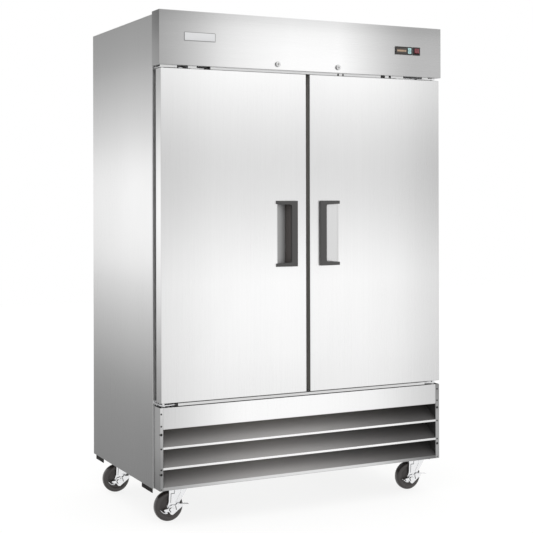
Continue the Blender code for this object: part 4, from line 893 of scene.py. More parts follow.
# =============================================================== lower grille
BZ0 = 0.4046
LIPS = ((0.3248, 0.3337), (0.2423, 0.2513))
RAILZ = (GZ0, 0.1724)
XI = GX - 0.0140           # inner edge of the flanges
XE = GX - 0.0152           # end plates
band = fillet([(GY, BZ0), (GY, GZ1), (GY + 0.0586, GZ1), (GY + 0.0586, GZ1 - T), (GY + T, GZ1 - T), (GY + T, BZ0 + T), (GY + 0.0140, BZ0 + T), (GY + 0.0140, BZ0)],
              [0.0022, 0.0024, 0, 0, 0.0012, 0.0010, 0, 0], 5)
piece("grille_band", new_prism(band, "X", -XI + 0.0003, XI - 0.0070), M_BAND, "cabinet", 0.0003, rep=["louver_panel"])
for s, side in SIDES:
    # flange: front strip and side return, one folded section
    pts = fillet([(GX, YF - 0.0006), (GX, GY), (GX - 0.0140 - (0.0066 if s > 0 else 0), GY), (GX - 0.0140 - (0.0066 if s > 0 else 0), GY + T), (GX - T, GY + T), (GX - T, YF - 0.0006)],
                 [0, 0.0024, 0, 0, 0.0012, 0], 5)
    ob = mesh("grille_flange_" + side, new_prism([(s * p[0], p[1]) for p in pts], "Z", GZ0, GZ1))
    fx = s * (GX - (0.0058 if s < 0 else 0.0123))
    holes = (0.3852, 0.2246) if s < 0 else (0.3872, 0.2254)
    for z in holes:
        boolean(ob, new_lathe([(0, GY - 0.01), (0.0055, GY - 0.01), (0.0055, GY + 0.01), (0, GY + 0.01)], (fx, z), "Y", 20))
    dress(ob, M_FLANGE_L if s < 0 else M_FLANGE_R, "cabinet", 0.0003)
    # a black disc behind each hole: painted shade seen through it
    bm = bmesh.new()
    for z in holes:
        add_lathe(bm, [(0, GY + 0.0040), (0.0068, GY + 0.0040), (0.0068, GY + 0.0060), (0, GY + 0.0060)], (fx, z), "Y", 16)
    piece("grille_hole_shade_" + side, bm, M_NYLON, "cabinet")
    zs = (0.4677, 0.4188, 0.3276, 0.2439, 0.1650) if s < 0 else (0.4710, 0.4197, 0.3281, 0.2466, 0.1660)
    fasteners("grille_screws_" + side, [((fx, GY, z), (0, -1, 0), 0.0037 if z > 0.2 else 0.0024) for z in zs], M_NYLON, "cabinet")
    # end plate closing the louvres
    bm = bmesh.new()
    pl = [(GY + T + 0.0002, GZ0 + T), (YF + 0.0400, GZ0 + 0.0400), (YF + 0.0400, GZ1 - 0.006), (YF - 0.0080, GZ1 - T - 0.0004), (GY + T + 0.0002, GZ1 - T - 0.0004)]
    add_prism(bm, pl, "X", s * XE, s * (XE - 0.0010))
    for z in (BZ0 - 0.004, LIPS[0][0] - 0.004, LIPS[1][0] - 0.004):
        tab = fillet([(YF - 0.0200, z), (YF - 0.0120, z), (YF - 0.0160, z - 0.0160), (YF - 0.0200, z - 0.0160)], 0.0008, 2)
        add_prism(bm, tab, "X", s * (XE - 0.0011), s * (XE - 0.0034))
    piece("grille_end_" + side, bm, M_ENDPLATE, "cabinet")
RUN, RISE = 0.1000, 0.0640
for i, (z0, z1) in enumerate(LIPS + (RAILZ,)):
    nm = ("upper", "middle", "lower")[i]
    if i < 2:
        prof = fillet([(GY - 0.0002, z0), (GY - 0.0002, z1), (GY + T, z1 + 0.0004), (GY + T, z0)], [0.0006, 0.0010, 0.0004, 0.0004], 4)
        piece("grille_lip_" + nm, new_prism(prof, "X", -XI + 0.0002, XI - 0.0068), M_LIP, "cabinet", 0.0002)
    zt = z1 if i < 2 else z1 - 0.001
    prof = [(GY + T, zt - T), (GY + T, zt), (GY + RUN, zt + RISE), (GY + RUN + 0.0008, zt + RISE - 0.0012)]
    piece("grille_blade_" + nm, new_prism(prof, "X", -XE + 0.0001, XE - 0.0001), M_BLADE, "cabinet")
rail = fillet([(GY, RAILZ[0]), (GY, RAILZ[1]), (GY + T, RAILZ[1]), (GY + T, RAILZ[0] + T), (GY + 0.0500, RAILZ[0] + T), (GY + 0.0500, RAILZ[0])],
              [0.0026, 0.0007, 0.0005, 0.0010, 0, 0], 5)
piece("grille_rail", new_prism(rail, "X", -XI + 0.0003, XI - 0.0068), M_RAIL, "cabinet", 0.0002)

piece("sill_strip", new_box(-0.6440, 0.6440, YF + 0.0001, YF + 0.0016, 0.4600, 0.4983), M_SILL, "cabinet", 0.0003)
ledge = new_box(-0.6010, 0.6010, DY0 + 0.0060, DY0 + 0.0072, DZ0 - 0.0141, DZ0 - 0.0036)
add_box(ledge, -0.6010, 0.6010, DY0 + 0.0073, YF - 0.0002, DZ0 - 0.0141, DZ0 - 0.0129)
piece("drip_ledge", ledge, M_SILL, "cabinet", 0.0002)
strike = new_box(-0.4550, 0.1482, DY0 + 0.0040, DY0 + 0.0055, DZ1 + 0.0015, HZ0 - 0.0002)
for a, b in ((0.1560, 0.1732), (0.1802, 0.3700)):
    add_box(strike, a, b, DY0 + 0.0040, DY0 + 0.0055, DZ1 + 0.0015, HZ0 - 0.0002)
add_box(strike, -0.4550, 0.3700, DY0 + 0.0056, DY0 + 0.0170, HZ0 - 0.0017, HZ0 - 0.0002)
for a, b in ((-0.6780, -0.6040), (-0.5550, -0.5170), (0.3920, 0.4120), (0.4240, 0.4880), (0.5885, 0.6200)):
    add_box(strike, a, b, DY0 + 0.0040, DY0 + 0.0055, DZ1 + 0.0022, HZ0 - 0.0002)
piece("strike_rail", strike, M_SILL, "cabinet")
# black blocks behind the two notches in the strike rail: painted shade seen through them
notch_shade = new_box(0.1474, 0.1570, DY0 + 0.0056, DY0 + 0.0080, DZ1 + 0.0017, HZ0 - 0.0020)
add_box(notch_shade, 0.1724, 0.1812, DY0 + 0.0056, DY0 + 0.0080, DZ1 + 0.0017, HZ0 - 0.0020)
piece("strike_notch_shade", notch_shade, M_NYLON, "cabinet")

# ================================================================= base frame
node("base_frame", M_PAINT, 0.0008, 2)
node("face_frame", M_FRAME, 0.0008, 2)
node("center_mullion", M_FRAME, 0.0010, 2)
node("back_panel", M_GALV, 0.0004, 2)
node("foam_core", M_FOAM)
node("inner_liner", M_LINER, 0.0005, 2)
node("unit_tray", M_GALV, 0.0006, 2)
fasteners("back_screws", [((sx * 0.645, YB - 0.0025, z), (0, 1, 0), 0.0036) for sx in (-1, 1) for z in (0.46, 0.75, 1.05, 1.35, 1.65, 1.95, 2.06)]
          + [((x, YB - 0.0025, z), (0, 1, 0), 0.0036) for x in (-0.42, -0.14, 0.14, 0.42) for z in (0.45, 2.06)], M_ZINC, "cabinet")

# ==================================================================== casters
def caster(tag):
    p0, p1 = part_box("caster_plate_" + tag)
    w0, w1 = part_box("caster_wheel_" + tag)
    f0, f1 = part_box("caster_fork_" + tag)
    cx, cy = (p0.x + p1.x) / 2, (w0.y + w1.y) / 2
    wx, wz, R = (w0.x + w1.x) / 2, (w0.z + w1.z) / 2, (w1.z - w0.z) / 2
    c = (wx, wz)
    wheel, fork, brake = "wheel_" + tag, "fork_" + tag, "brake_" + tag
    h = 0.0160
    # tyre: crowned tread, rounded shoulders, a groove on each face
    prof = [(0.0420, -h + 0.0012), (0.0440, -h), (0.0500, -h - 0.0003), (0.0530, -h - 0.0001), (0.0562, -h + 0.0010), (0.0590, -h + 0.0030), (0.0612, -h + 0.0062), (R - 0.0003, -h + 0.0105),
            (R, 0.0), (R - 0.0003, h - 0.0105), (0.0612, h - 0.0062), (0.0590, h - 0.0030), (0.0562, h - 0.0010), (0.0530, h + 0.0001), (0.0500, h + 0.0003), (0.0440, h), (0.0420, h - 0.0012)]
    piece("tyre_" + tag, new_lathe([(r, cy + a) for r, a in prof], c, "Y", 72), M_TYRE, wheel, angle=50, rep=["caster_wheel_" + tag])
    # core with a dished web and raised ring
    core = []
    for r, a in ((0.0140, 0.0172), (0.0165, 0.0172), (0.0180, 0.0160), (0.0195, 0.0142), (0.0270, 0.0136), (0.0340, 0.0134), (0.0355, 0.0140), (0.0375, 0.0140), (0.0390, 0.0136), (0.0419, 0.0146)):
        core.append((r, a))
    prof = [(0.0056, 0.0172)] + core
    full = [(r, cy - a) for r, a in prof] + [(r, cy + a) for r, a in prof[::-1]]
    piece("wheel_core_" + tag, new_lathe(full, c, "Y", 64), M_HUB, wheel, angle=45)
    bm = bmesh.new()
    for sg in (-1, 1):
        add_lathe(bm, [(0.0056, cy + sg * 0.0174), (0.0056, cy + sg * 0.0186), (0.0112, cy + sg * 0.0186), (0.0122, cy + sg * 0.0174)], c, "Y", 32)
    piece("wheel_bearing_cover_" + tag, bm, M_ZINC, wheel)
    # top plate with its rivet, upper raceway and four bolts
    pz1 = p1.z
    ob = mesh("caster_top_plate_" + tag, new_prism(rrect(p0.x, p1.x, cy - 0.0460, cy + 0.0460, 0.006, 4), "Z", pz1 - 0.0040, pz1))
    dress(ob, M_ZINC, "cabinet", 0.0006, 2, rep=["caster_plate_" + tag])
    piece("caster_raceway_" + tag, new_lathe([(0.0060, pz1 - 0.0042), (0.0180, pz1 - 0.0042), (0.0260, pz1 - 0.0042), (0.0272, pz1 - 0.0056), (0.0272, pz1 - 0.0120), (0.0262, pz1 - 0.0140), (0.0235, pz1 - 0.0146), (0.0060, pz1 - 0.0146)],
                                             (cx, cy), "Z", 48), M_ZINC, "cabinet")
    piece("caster_kingpin_" + tag, new_lathe([(0, 0.1288), (0.0074, 0.1288), (0.0086, 0.1298), (0.0086, 0.1330), (0.0056, 0.1332), (0.0056, pz1 - 0.0060), (0, pz1 - 0.0060)], (cx, cy), "Z", 24),
          M_ZINC, "cabinet")
    fasteners("caster_bolts_" + tag, [((cx + a * 0.0285, cy + b * 0.0375, pz1 - 0.0040), (0, 0, -1), 0.0036) for a in (-1, 1) for b in (-1, 1)], M_ZINC, "cabinet", me=BOLT)
    # fork: crown with the lower raceway, two drawn legs
    cz0, cz1 = 0.1405, 0.1440
    leg = fillet([(wx - 0.004, cz1), (cx + 0.0380, cz1), (cx + 0.0362, 0.1250), (wx + 0.0405, 0.0760), (wx + 0.0170, 0.0505), (wx - 0.0100, 0.0500), (wx - 0.0125, 0.0660), (wx - 0.0062, 0.0820)],
                 [0.002, 0.004, 0.008, 0.010, 0.008, 0.006, 0.006, 0.010], 5)
    ob = mesh("caster_yoke_" + tag, new_prism(leg, "Y", cy - 0.0230, cy - 0.0198))
    boolean(ob, new_prism(leg, "Y", cy + 0.0198, cy + 0.0230), "UNION")
    boolean(ob, new_box(wx - 0.0034, cx + 0.0372, cy - 0.0228, cy + 0.0228, cz0, cz1 - 0.0003), "UNION")
    boolean(ob, new_lathe([(0, 0.13), (0.0066, 0.13), (0.0066, 0.16), (0, 0.16)], (cx, cy), "Z", 24))
    dress(ob, M_ZINC, fork, 0.0009, 3, rep=["caster_fork_" + tag])
    # pressed rib on each leg, raised along its rear edge
    bm = bmesh.new()
    for sg in (-1, 1):
        rib = fillet([(cx + 0.0080, 0.1385), (cx + 0.0290, 0.1385), (cx + 0.0285, 0.1230), (wx + 0.0330, 0.0830), (wx + 0.0245, 0.0800), (cx + 0.0080, 0.1180)], 0.004, 4)
        add_prism(bm, rib, "Y", cy + sg * 0.0228, cy + sg * 0.0240)
    piece("caster_rib_" + tag, bm, M_ZINC, fork, 0.0006, 2)
    # a dark strip on the outer leg: painted shadow under the leg's fold
    bm = bmesh.new()
    step = fillet([(wx + 0.0030, 0.1180), (wx + 0.0180, 0.1180), (wx + 0.0180, 0.1290), (wx + 0.0205, 0.1290), (wx + 0.0205, 0.1150), (wx + 0.0055, 0.1150), (wx + 0.0030, 0.0780), (wx + 0.0008, 0.0780)], 0.0009, 3)
    add_prism(bm, step, "Y", cy - 0.0229, cy - 0.0236)
    piece("caster_fold_" + tag, bm, M_FOLD_SHADE, fork, 0.0002)
    ball = [(0.0200, cz1 - 0.0002), (0.0232, cz1 - 0.0002), (0.0250, cz1 + 0.0002), (0.0250, cz1 + 0.0009), (0.0200, cz1 + 0.0009)]
    piece("caster_race_lower_" + tag, new_lathe(ball, (cx, cy), "Z", 48), M_ZINC, fork)
    # axle bolt with its nut
    bm = bmesh.new()
    add_lathe(bm, [(0, cy - 0.0250), (0.0040, cy - 0.0250), (0.0048, cy - 0.0244), (0.0048, cy + 0.0244), (0, cy + 0.0244)], c, "Y", 20)
    piece("caster_axle_" + tag, bm, M_ZINC, fork)
    bm = bmesh.new()
    stamp(bm, BOLT, (wx, cy + 0.0230, wz), (0, 1, 0), 0.0072)
    piece("caster_axle_nut_" + tag, bm, M_ZINC, fork)
    px, pz = wx + 0.0140, wz - 0.0020
    piece("brake_pivot_" + tag, new_lathe([(0, cy - 0.0292), (0.0052, cy - 0.0292), (0.0058, cy - 0.0288), (0.0030, cy - 0.0286), (0.0030, cy - 0.0226), (0, cy - 0.0226)], (px, pz), "Y", 20), M_ZINC, fork)
    # brake: V-shaped stamped lever, spoon pedal and release tab
    lev = fillet([(-0.0300, -0.0118), (-0.0205, -0.0198), (-0.0075, -0.0185), (0.0010, -0.0310), (0.0100, -0.0330), (0.0560, 0.0005), (0.0560, 0.0075), (0.0310, 0.0136),
                  (0.0225, 0.0058), (0.0100, 0.0082), (-0.0040, 0.0048), (-0.0100, -0.0062), (-0.0275, -0.0076)],
                 [0.002, 0.004, 0.005, 0.003, 0.004, 0.001, 0.001, 0.002, 0.004, 0.004, 0.004, 0.005, 0.001], 4)
    ob = mesh("brake_lever_" + tag, new_prism([(wx + a, wz + b) for a, b in lev], "Y", cy - 0.0284, cy - 0.0264))
    boolean(ob, new_lathe([(0, cy - 0.04), (0.0034, cy - 0.04), (0.0034, cy - 0.01), (0, cy - 0.01)], (px, pz), "Y", 20))
    dress(ob, M_ZINC, brake, 0.0005, 2, rep=["caster_brake_" + tag])
    bm = bmesh.new()
    # spoon pedal: curved strip with an upturned lip
    top = [(-0.0205, -0.0172), (-0.0270, -0.0180), (-0.0340, -0.0168), (-0.0400, -0.0135), (-0.0450, -0.0088), (-0.0472, -0.0062)]
    bot = [(-0.0483, -0.0080), (-0.0462, -0.0112), (-0.0408, -0.0158), (-0.0344, -0.0192), (-0.0270, -0.0204), (-0.0205, -0.0196)]
    add_prism(bm, [(wx + a, wz + b) for a, b in top + bot], "Y", cy - 0.0458, cy - 0.0266)
    piece("brake_pedal_" + tag, bm, M_ZINC, brake, 0.0005, 2, 50)
    bm = bmesh.new()
    tab = [(0.0300, 0.0138), (0.0440, 0.0134), (0.0560, 0.0118), (0.0680, 0.0102), (0.0765, 0.0092), (0.0763, 0.0076), (0.0670, 0.0084), (0.0550, 0.0098), (0.0430, 0.0114), (0.0300, 0.0120)]
    add_prism(bm, [(wx + a, wz + b) for a, b in tab], "Y", cy - 0.0420, cy - 0.0266)
    piece("brake_release_" + tag, bm, M_ZINC, brake, 0.0004, 2, 50)
    bm = bmesh.new()
    gap = fillet([(0.0204, 0.0040), (0.0230, 0.0048), (0.0272, -0.0120), (0.0244, -0.0146)], 0.0006, 2)
    add_prism(bm, [(wx + a, wz + b) for a, b in gap], "Y", cy - 0.0283, cy - 0.0289)
    hook = fillet([(-0.0052, -0.0024), (0.0044, -0.0012), (0.0044, -0.0042), (-0.0014, -0.0052), (-0.0034, -0.0120), (0.0024, -0.0200), (0.0000, -0.0226), (-0.0076, -0.0122)], 0.0008, 2)
    add_prism(bm, [(wx + a, wz + b) for a, b in hook], "Y", cy - 0.0283, cy - 0.0288)
    piece("brake_crease_" + tag, bm, M_CREASE, brake)


M_FOLD_SHADE = metal("caster_fold_shadow", (0.22, 0.225, 0.23), 0.35)
M_CREASE = plastic("brake_crease_shadow", (0.020, 0.019, 0.018), 0.6)
for tag in ("front_left", "front_right", "rear_left", "rear_right"):
    caster(tag)

# =================================================================== interior
for side in ("left", "right"):
    for lvl in ("lower", "upper"):
        nm = "shelf_%s_%s" % (side, lvl)
        a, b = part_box(nm)
        bm = bmesh.new()
        zf_, zr = a.z + 0.0030, 0.0030
        frame_path = [(a.x + 0.004, a.y + 0.004, zf_), (b.x - 0.004, a.y + 0.004, zf_), (b.x - 0.004, b.y - 0.004, zf_), (a.x + 0.004, b.y - 0.004, zf_)]
        pts, k = [], 4
        for i in range(4):
            p, q, r = Vector(frame_path[i - 1]), Vector(frame_path[i]), Vector(frame_path[(i + 1) % 4])
            u, v = (p - q).normalized() * 0.018, (r - q).normalized() * 0.018
            for j in range(6):
                t = j / 5
                pts.append((q + u) * (1 - t) ** 2 + q * 2 * t * (1 - t) + (q + v) * t ** 2)
        add_tube(bm, pts, zr, 10, True)
        for y in (a.y + 0.16, (a.y + b.y) / 2, b.y - 0.16):
            add_tube(bm, [(a.x + 0.004, y, zf_), (b.x - 0.004, y, zf_)], 0.0026, 8)
        n = 22
        for i in range(n):
            x = a.x + 0.026 + (b.x - a.x - 0.052) * i / (n - 1)
            add_tube(bm, bend([(x, a.y + 0.0035, zf_ - 0.0030), (x, a.y + 0.0035, b.z - 0.0012), (x, b.y - 0.0035, b.z - 0.0012), (x, b.y - 0.0035, zf_ - 0.0030)], 0.004, 3), 0.0014, 6)
        piece("wire_" + nm, bm, M_WIRE, "cabinet", rep=[nm])
        # two clips under the outer corners, hooked in the standards
        bm = bmesh.new()
        xo = b.x if side == "right" else a.x
        so = 1 if side == "right" else -1
        xi_ = a.x if side == "right" else b.x
        for y in (YF + 0.0964, b.y - 0.065):
            add_box(bm, xo - so * 0.020, xo + so * 0.0030, y - 0.008, y + 0.008, a.z - 0.0030, a.z - 0.0004)
            add_box(bm, xo - so * 0.0010, xo + so * 0.0030, y - 0.008, y + 0.008, a.z - 0.018, a.z - 0.0031)
        piece("shelf_clips_" + side + "_" + lvl, bm, M_ZINC, "cabinet", 0.0005)

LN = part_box("inner_liner")
# slotted shelf standards on the side walls and the back
for s, side in SIDES:
    for i, yc in enumerate((LN[0].y + 0.075, LN[1].y - 0.080)):
        z0, z1 = LN[0].z + 0.020, 1.7500
        zs, z = [z0], z0 + 0.014
        while z < z1 - 0.02:
            zs += [z, z + 0.012]
            z += 0.0254
        zs.append(z1)
        us = [yc - 0.0125, yc - 0.0040, yc + 0.0040, yc + 0.0125]
        xa = s * (LN[1].x - 0.0012 - 0.0101)
        bm = bmesh.new()
        add_plate(bm, us, zs, lambda a_, b_: a_ == 1 and b_ % 2 == 1, lambda u, v, k, xa=xa, s=s: (xa - s * 0.0012 * k, u, v))
        piece("shelf_standard_%s_%d" % (side, i + 1), bm, M_LINER, "cabinet")
zs, z = [LN[0].z + 0.020], LN[0].z + 0.034
while z < 1.73:
    zs += [z, z + 0.012]
    z += 0.0254
zs.append(1.7500)
bm = bmesh.new()
yb_ = LN[1].y - 0.0012 - 0.0101
add_plate(bm, [-0.0250, -0.0150, -0.0070, 0.0070, 0.0150, 0.0250], zs, lambda a_, b_: a_ in (1, 3) and b_ % 2 == 1, lambda u, v, k: (u, yb_ - 0.0012 * k, v))
piece("shelf_standard_back", bm, M_LINER, "cabinet")

# evaporator: cover edges, fan guard, louvres, lamp
node("evaporator_cover", M_PAN, 0.0005, 2)
node("evaporator_fan", M_FANP, 0.0003, 2, 30)
EV0, EV1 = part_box("evaporator_cover")
FZ = (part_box("evaporator_fan")[0].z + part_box("evaporator_fan")[1].z) / 2
bm = bmesh.new()
for r in (0.014, 0.027, 0.040, 0.053, 0.066, 0.0745):
    add_tube(bm, [(r * math.cos(2 * math.pi * i / 48), EV0.y - 0.0065 - 0.004 * (1 - (r / 0.0745) ** 2), FZ + r * math.sin(2 * math.pi * i / 48)) for i in range(48)], 0.0011, 6, True)
for i in range(4):
    a = math.pi * i / 4 + 0.39
    add_tube(bm, bend([(0.0790 * math.cos(a), EV0.y - 0.0012, FZ + 0.0790 * math.sin(a)), (0.0745 * math.cos(a), EV0.y - 0.0080, FZ + 0.0745 * math.sin(a)),
                       (0, EV0.y - 0.0112, FZ), (-0.0745 * math.cos(a), EV0.y - 0.0080, FZ - 0.0745 * math.sin(a)), (-0.0790 * math.cos(a), EV0.y - 0.0012, FZ - 0.0790 * math.sin(a))], 0.006, 4), 0.0013, 6)
piece("evaporator_fan_guard", bm, M_WIRE, "cabinet")
piece("evaporator_fan_ring", new_lathe([(0.0642, EV0.y - 0.0026), (0.0700, EV0.y - 0.0006), (0.0702, EV0.y - 0.0004), (0.0642, EV0.y - 0.0004)], (0, FZ), "Y", 56), M_PAN, "cabinet")
piece("evaporator_motor", new_lathe([(0, EV0.y + 0.042), (0.026, EV0.y + 0.042), (0.028, EV0.y + 0.044), (0.028, EV0.y + 0.088), (0.024, EV0.y + 0.092), (0, EV0.y + 0.092)], (0, FZ), "Y", 40), M_NYLON, "cabinet")
for s, side in SIDES:
    us, vs = [], []
    x0, x1 = sorted((s * 0.13, s * 0.40))
    zz = [EV0.z + 0.025]
    for i in range(9):
        zz += [EV0.z + 0.040 + i * 0.020, EV0.z + 0.050 + i * 0.020]
    zz.append(EV0.z + 0.225)
    xx = [x0, x0 + 0.012, x0 + 0.125, x0 + 0.145, x1 - 0.012, x1]
    bm = bmesh.new()
    add_plate(bm, xx, zz, lambda a_, b_: a_ in (1, 3) and b_ % 2 == 1, lambda u, v, k: (u, EV0.y - 0.0004 - 0.0016 * k, v))
    piece("evaporator_louvre_" + side, bm, M_PAN, "cabinet", 0.0002)
    bm = bmesh.new()
    add_box(bm, x0 + 0.006, x1 - 0.006, EV0.y - 0.0003, EV0.y - 0.0001, zz[0] + 0.008, zz[-1] - 0.008)
    piece("evaporator_louvre_screen_" + side, bm, M_NYLON, "cabinet")
fasteners("evaporator_screws", [((x, EV0.y, z), (0, -1, 0), 0.0034) for x in (-0.415, -0.11, 0.11, 0.415) for z in (EV0.z + 0.012, EV1.z - 0.020)], M_ZINC, "cabinet")
bm = bmesh.new()
add_loft(bm, [(0.46, 0.60, 1.900, 1.960, 0.010, LN[0].y + 0.30), (0.46, 0.60, 1.900, 1.960, 0.010, LN[0].y + 0.285), (0.466, 0.594, 1.906, 1.954, 0.012, LN[0].y + 0.262), (0.478, 0.582, 1.916, 1.944, 0.010, LN[0].y + 0.256)])
ob = piece("interior_lamp", bm, M_LAMP, "cabinet")
bm = bmesh.new()
add_box(bm, 0.452, 0.608, LN[0].y + 0.300, LN[0].y + 0.306, 1.890, LN[1].z - 0.0015)
piece("lamp_bracket", bm, M_PAN, "cabinet", 0.0008)
# thermometer sensor lead
bm = bmesh.new()
add_tube(bm, bend([(-0.30, EV0.y - 0.006, EV0.z + 0.030), (-0.30, EV0.y - 0.012, EV0.z - 0.006), (-0.36, EV0.y + 0.040, EV0.z - 0.010)], 0.012), 0.0025, 8)
piece("sensor_lead", bm, M_CORD, "cabinet")

# ============================================================ condensing unit
CC0, CC1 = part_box("condenser_coil")
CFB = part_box("condenser_fan")
CFX, CFZ = (CFB[0].x + CFB[1].x) / 2, (CFB[0].z + CFB[1].z) / 2
bm = bmesh.new()
n = 100
for i in range(n):
    x = CC0.x + 0.006 + (CC1.x - CC0.x - 0.012) * i / (n - 1)
    add_box(bm, x - 0.00025, x + 0.00025, CC0.y + 0.001, CC0.y + 0.0330, CC0.z + 0.003, CC1.z - 0.003)
piece("condenser_fins", bm, M_FIN, "cabinet", rep=["condenser_coil"])
bm = bmesh.new()
for x in (CC0.x, CC1.x - 0.0014):
    add_box(bm, x, x + 0.0014, CC0.y, CC1.y - 0.002, CC0.z, CC1.z)
add_box(bm, CC0.x, CC1.x, CC0.y, CC0.y + 0.0340, CC1.z - 0.0014, CC1.z - 0.0002)
add_box(bm, CC0.x, CC1.x, CC0.y, CC0.y + 0.0340, CC0.z + 0.0002, CC0.z + 0.0014)
piece("condenser_frame", bm, M_GALV, "cabinet", 0.0003)
sh = mesh("condenser_shroud", new_box(CC0.x + 0.0016, CC1.x - 0.0016, CC0.y + 0.0345, CC1.y - 0.001, CC0.z + 0.0004, CC1.z - 0.0004))
boolean(sh, new_lathe([(0, CC0.y + 0.02), (0.1125, CC0.y + 0.02), (0.1125, CC1.y + 0.02), (0, CC1.y + 0.02)], (CFX, CFZ), "Y", 64))
dress(sh, M_GALV, "cabinet", 0.0006, 2)
bm = bmesh.new()
for row in range(2):
    y = CC0.y + 0.010 + row * 0.014
    for i in range(8):
        z = CC0.z + 0.022 + i * 0.029
        for x, sx in ((CC0.x, -1), (CC1.x, 1)):
            if (i + (sx > 0)) % 2 == 0 and i < 7:
                add_tube(bm, [(x + sx * 0.001, y, z)] + [(x + sx * (0.0045 + 0.0125 * math.sin(math.pi * j / 8)), y, z + 0.0145 - 0.0145 * math.cos(math.pi * j / 8)) for j in range(9)] + [(x + sx * 0.001, y, z + 0.029)], 0.0042, 8)
piece("condenser_bends", bm, M_COPPER, "cabinet")
node("condenser_fan", M_FANB, 0.0003, 2, 30)
bm = bmesh.new()
for r in (0.030, 0.050, 0.070, 0.090, 0.108):
    add_tube(bm, [(CFX + r * math.cos(2 * math.pi * i / 48), CC1.y + 0.006, CFZ + r * math.sin(2 * math.pi * i / 48)) for i in range(48)], 0.0014, 6, True)
for i in range(3):
    a = 2 * math.pi * i / 3 + 0.5
    add_tube(bm, [(CFX + 0.024 * math.cos(a), CC1.y + 0.010, CFZ + 0.024 * math.sin(a)), (CFX + 0.118 * math.cos(a), CC1.y + 0.010, CFZ + 0.118 * math.sin(a)), (CFX + 0.118 * math.cos(a), CC1.y - 0.001, CFZ + 0.118 * math.sin(a))], 0.0026, 8)
piece("condenser_fan_guard", bm, M_WELD, "cabinet")
piece("condenser_fan_motor", new_lathe([(0, CC1.y + 0.004), (0.022, CC1.y + 0.004), (0.034, CC1.y + 0.010), (0.036, CC1.y + 0.014), (0.036, CC1.y + 0.062), (0.032, CC1.y + 0.068), (0.012, CC1.y + 0.070), (0, CC1.y + 0.070)], (CFX, CFZ), "Y", 44),
      M_COMP, "cabinet")
node("compressor", M_COMP, 0.0012, 3, 30)
CP0, CP1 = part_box("compressor")
kx, ky = (CP0.x + CP1.x) / 2, (CP0.y + CP1.y) / 2
piece("compressor_seam", new_lathe([(0.0975, CP0.z + 0.0910), (0.1015, CP0.z + 0.0915), (0.1035, CP0.z + 0.0935), (0.1035, CP0.z + 0.0965), (0.1015, CP0.z + 0.0985), (0.0975, CP0.z + 0.0990)], (kx, ky), "Z", 64), M_WELD, "cabinet")
bm = bmesh.new()
add_prism(bm, rrect(kx - 0.030, kx + 0.030, CP0.z + 0.045, CP0.z + 0.125, 0.006, 4), "Y", ky + 0.088, ky + 0.128)
piece("terminal_cover", bm, M_COMP, "cabinet", 0.002, 3)
bm = bmesh.new()
for ax in (-1, 1):
    for ay in (-1, 1):
        fxx, fyy = kx + ax * 0.095, ky + ay * 0.070
        add_lathe(bm, [(0, CP0.z + 0.0002), (0.015, CP0.z + 0.0002), (0.015, CP0.z + 0.005), (0.010, CP0.z + 0.007), (0.010, CP0.z + 0.011), (0.014, CP0.z + 0.013), (0.014, CP0.z + 0.0175), (0, CP0.z + 0.0175)], (fxx, fyy), "Z", 28)
piece("compressor_grommets", bm, M_RUBBER, "cabinet")
bm = bmesh.new()
for ay in (-1, 1):
    add_box(bm, kx - 0.115, kx + 0.115, ky + ay * 0.070 - 0.017, ky + ay * 0.070 + 0.017, CP0.z + 0.0180, CP0.z + 0.0205)
piece("compressor_feet", bm, M_WELD, "cabinet", 0.0008)
fasteners("compressor_bolts", [((kx + ax * 0.095, ky + ay * 0.070, CP0.z + 0.0205), (0, 0, 1), 0.0055) for ax in (-1, 1) for ay in (-1, 1)], M_ZINC, "cabinet", me=BOLT)
# pipework
bm = bmesh.new()
zt_ = CP0.z
add_tube(bm, bend([(kx + 0.070, ky - 0.040, zt_ + 0.150), (kx + 0.150, ky - 0.050, zt_ + 0.150), (kx + 0.160, ky - 0.060, zt_ + 0.235), (CC0.x - 0.024, CC0.y + 0.020, zt_ + 0.235), (CC0.x - 0.002, CC0.y + 0.017, CC1.z - 0.020)], 0.022, 6), 0.0042, 10)
add_tube(bm, bend([(CC1.x + 0.001, CC0.y + 0.017, CC0.z + 0.022), (CC1.x + 0.040, CC0.y + 0.024, CC0.z + 0.022), (CC1.x + 0.060, CC1.y + 0.080, CC0.z + 0.040), (CC1.x - 0.060, ky + 0.020, CC0.z + 0.040), (CC1.x - 0.100, ky + 0.060, CC0.z + 0.060)], 0.024, 6), 0.0035, 10)
add_tube(bm, bend([(kx - 0.040, ky + 0.082, zt_ + 0.060), (kx - 0.055, ky + 0.145, zt_ + 0.060), (kx - 0.055, ky + 0.155, zt_ + 0.135)], 0.014, 5), 0.0035, 10)
piece("refrigerant_tubes", bm, M_COPPER, "cabinet")
bm = bmesh.new()
add_tube(bm, bend([(kx - 0.075, ky + 0.030, zt_ + 0.125), (kx - 0.145, ky + 0.060, zt_ + 0.125), (kx - 0.160, ky + 0.090, zt_ + 0.250), (kx - 0.160, ky + 0.120, 0.4950)], 0.025, 6), 0.0095, 12)
piece("suction_insulation", bm, M_INSUL, "cabinet")
dx, dy_, dz = CC1.x - 0.100, ky + 0.060, CC0.z + 0.060
bm = bmesh.new()
add_lathe(bm, [(0, dz - 0.002), (0.005, dz), (0.006, dz + 0.006), (0.014, dz + 0.016), (0.0155, dz + 0.024), (0.0155, dz + 0.096), (0.014, dz + 0.104), (0.006, dz + 0.114), (0.004, dz + 0.122), (0, dz + 0.123)], (dx, dy_), "Z", 32)
piece("filter_drier", bm, M_COPPER, "cabinet")
bm = bmesh.new()
coil_path = [(dx, dy_, dz + 0.120), (dx, dy_, dz + 0.150)]
for i in range(49):
    a = 2 * math.pi * i / 16
    coil_path.append((dx - 0.028 + 0.028 * math.cos(a), dy_ + 0.028 * math.sin(a), dz + 0.160 + 0.0035 * i / 16 * 1.2))
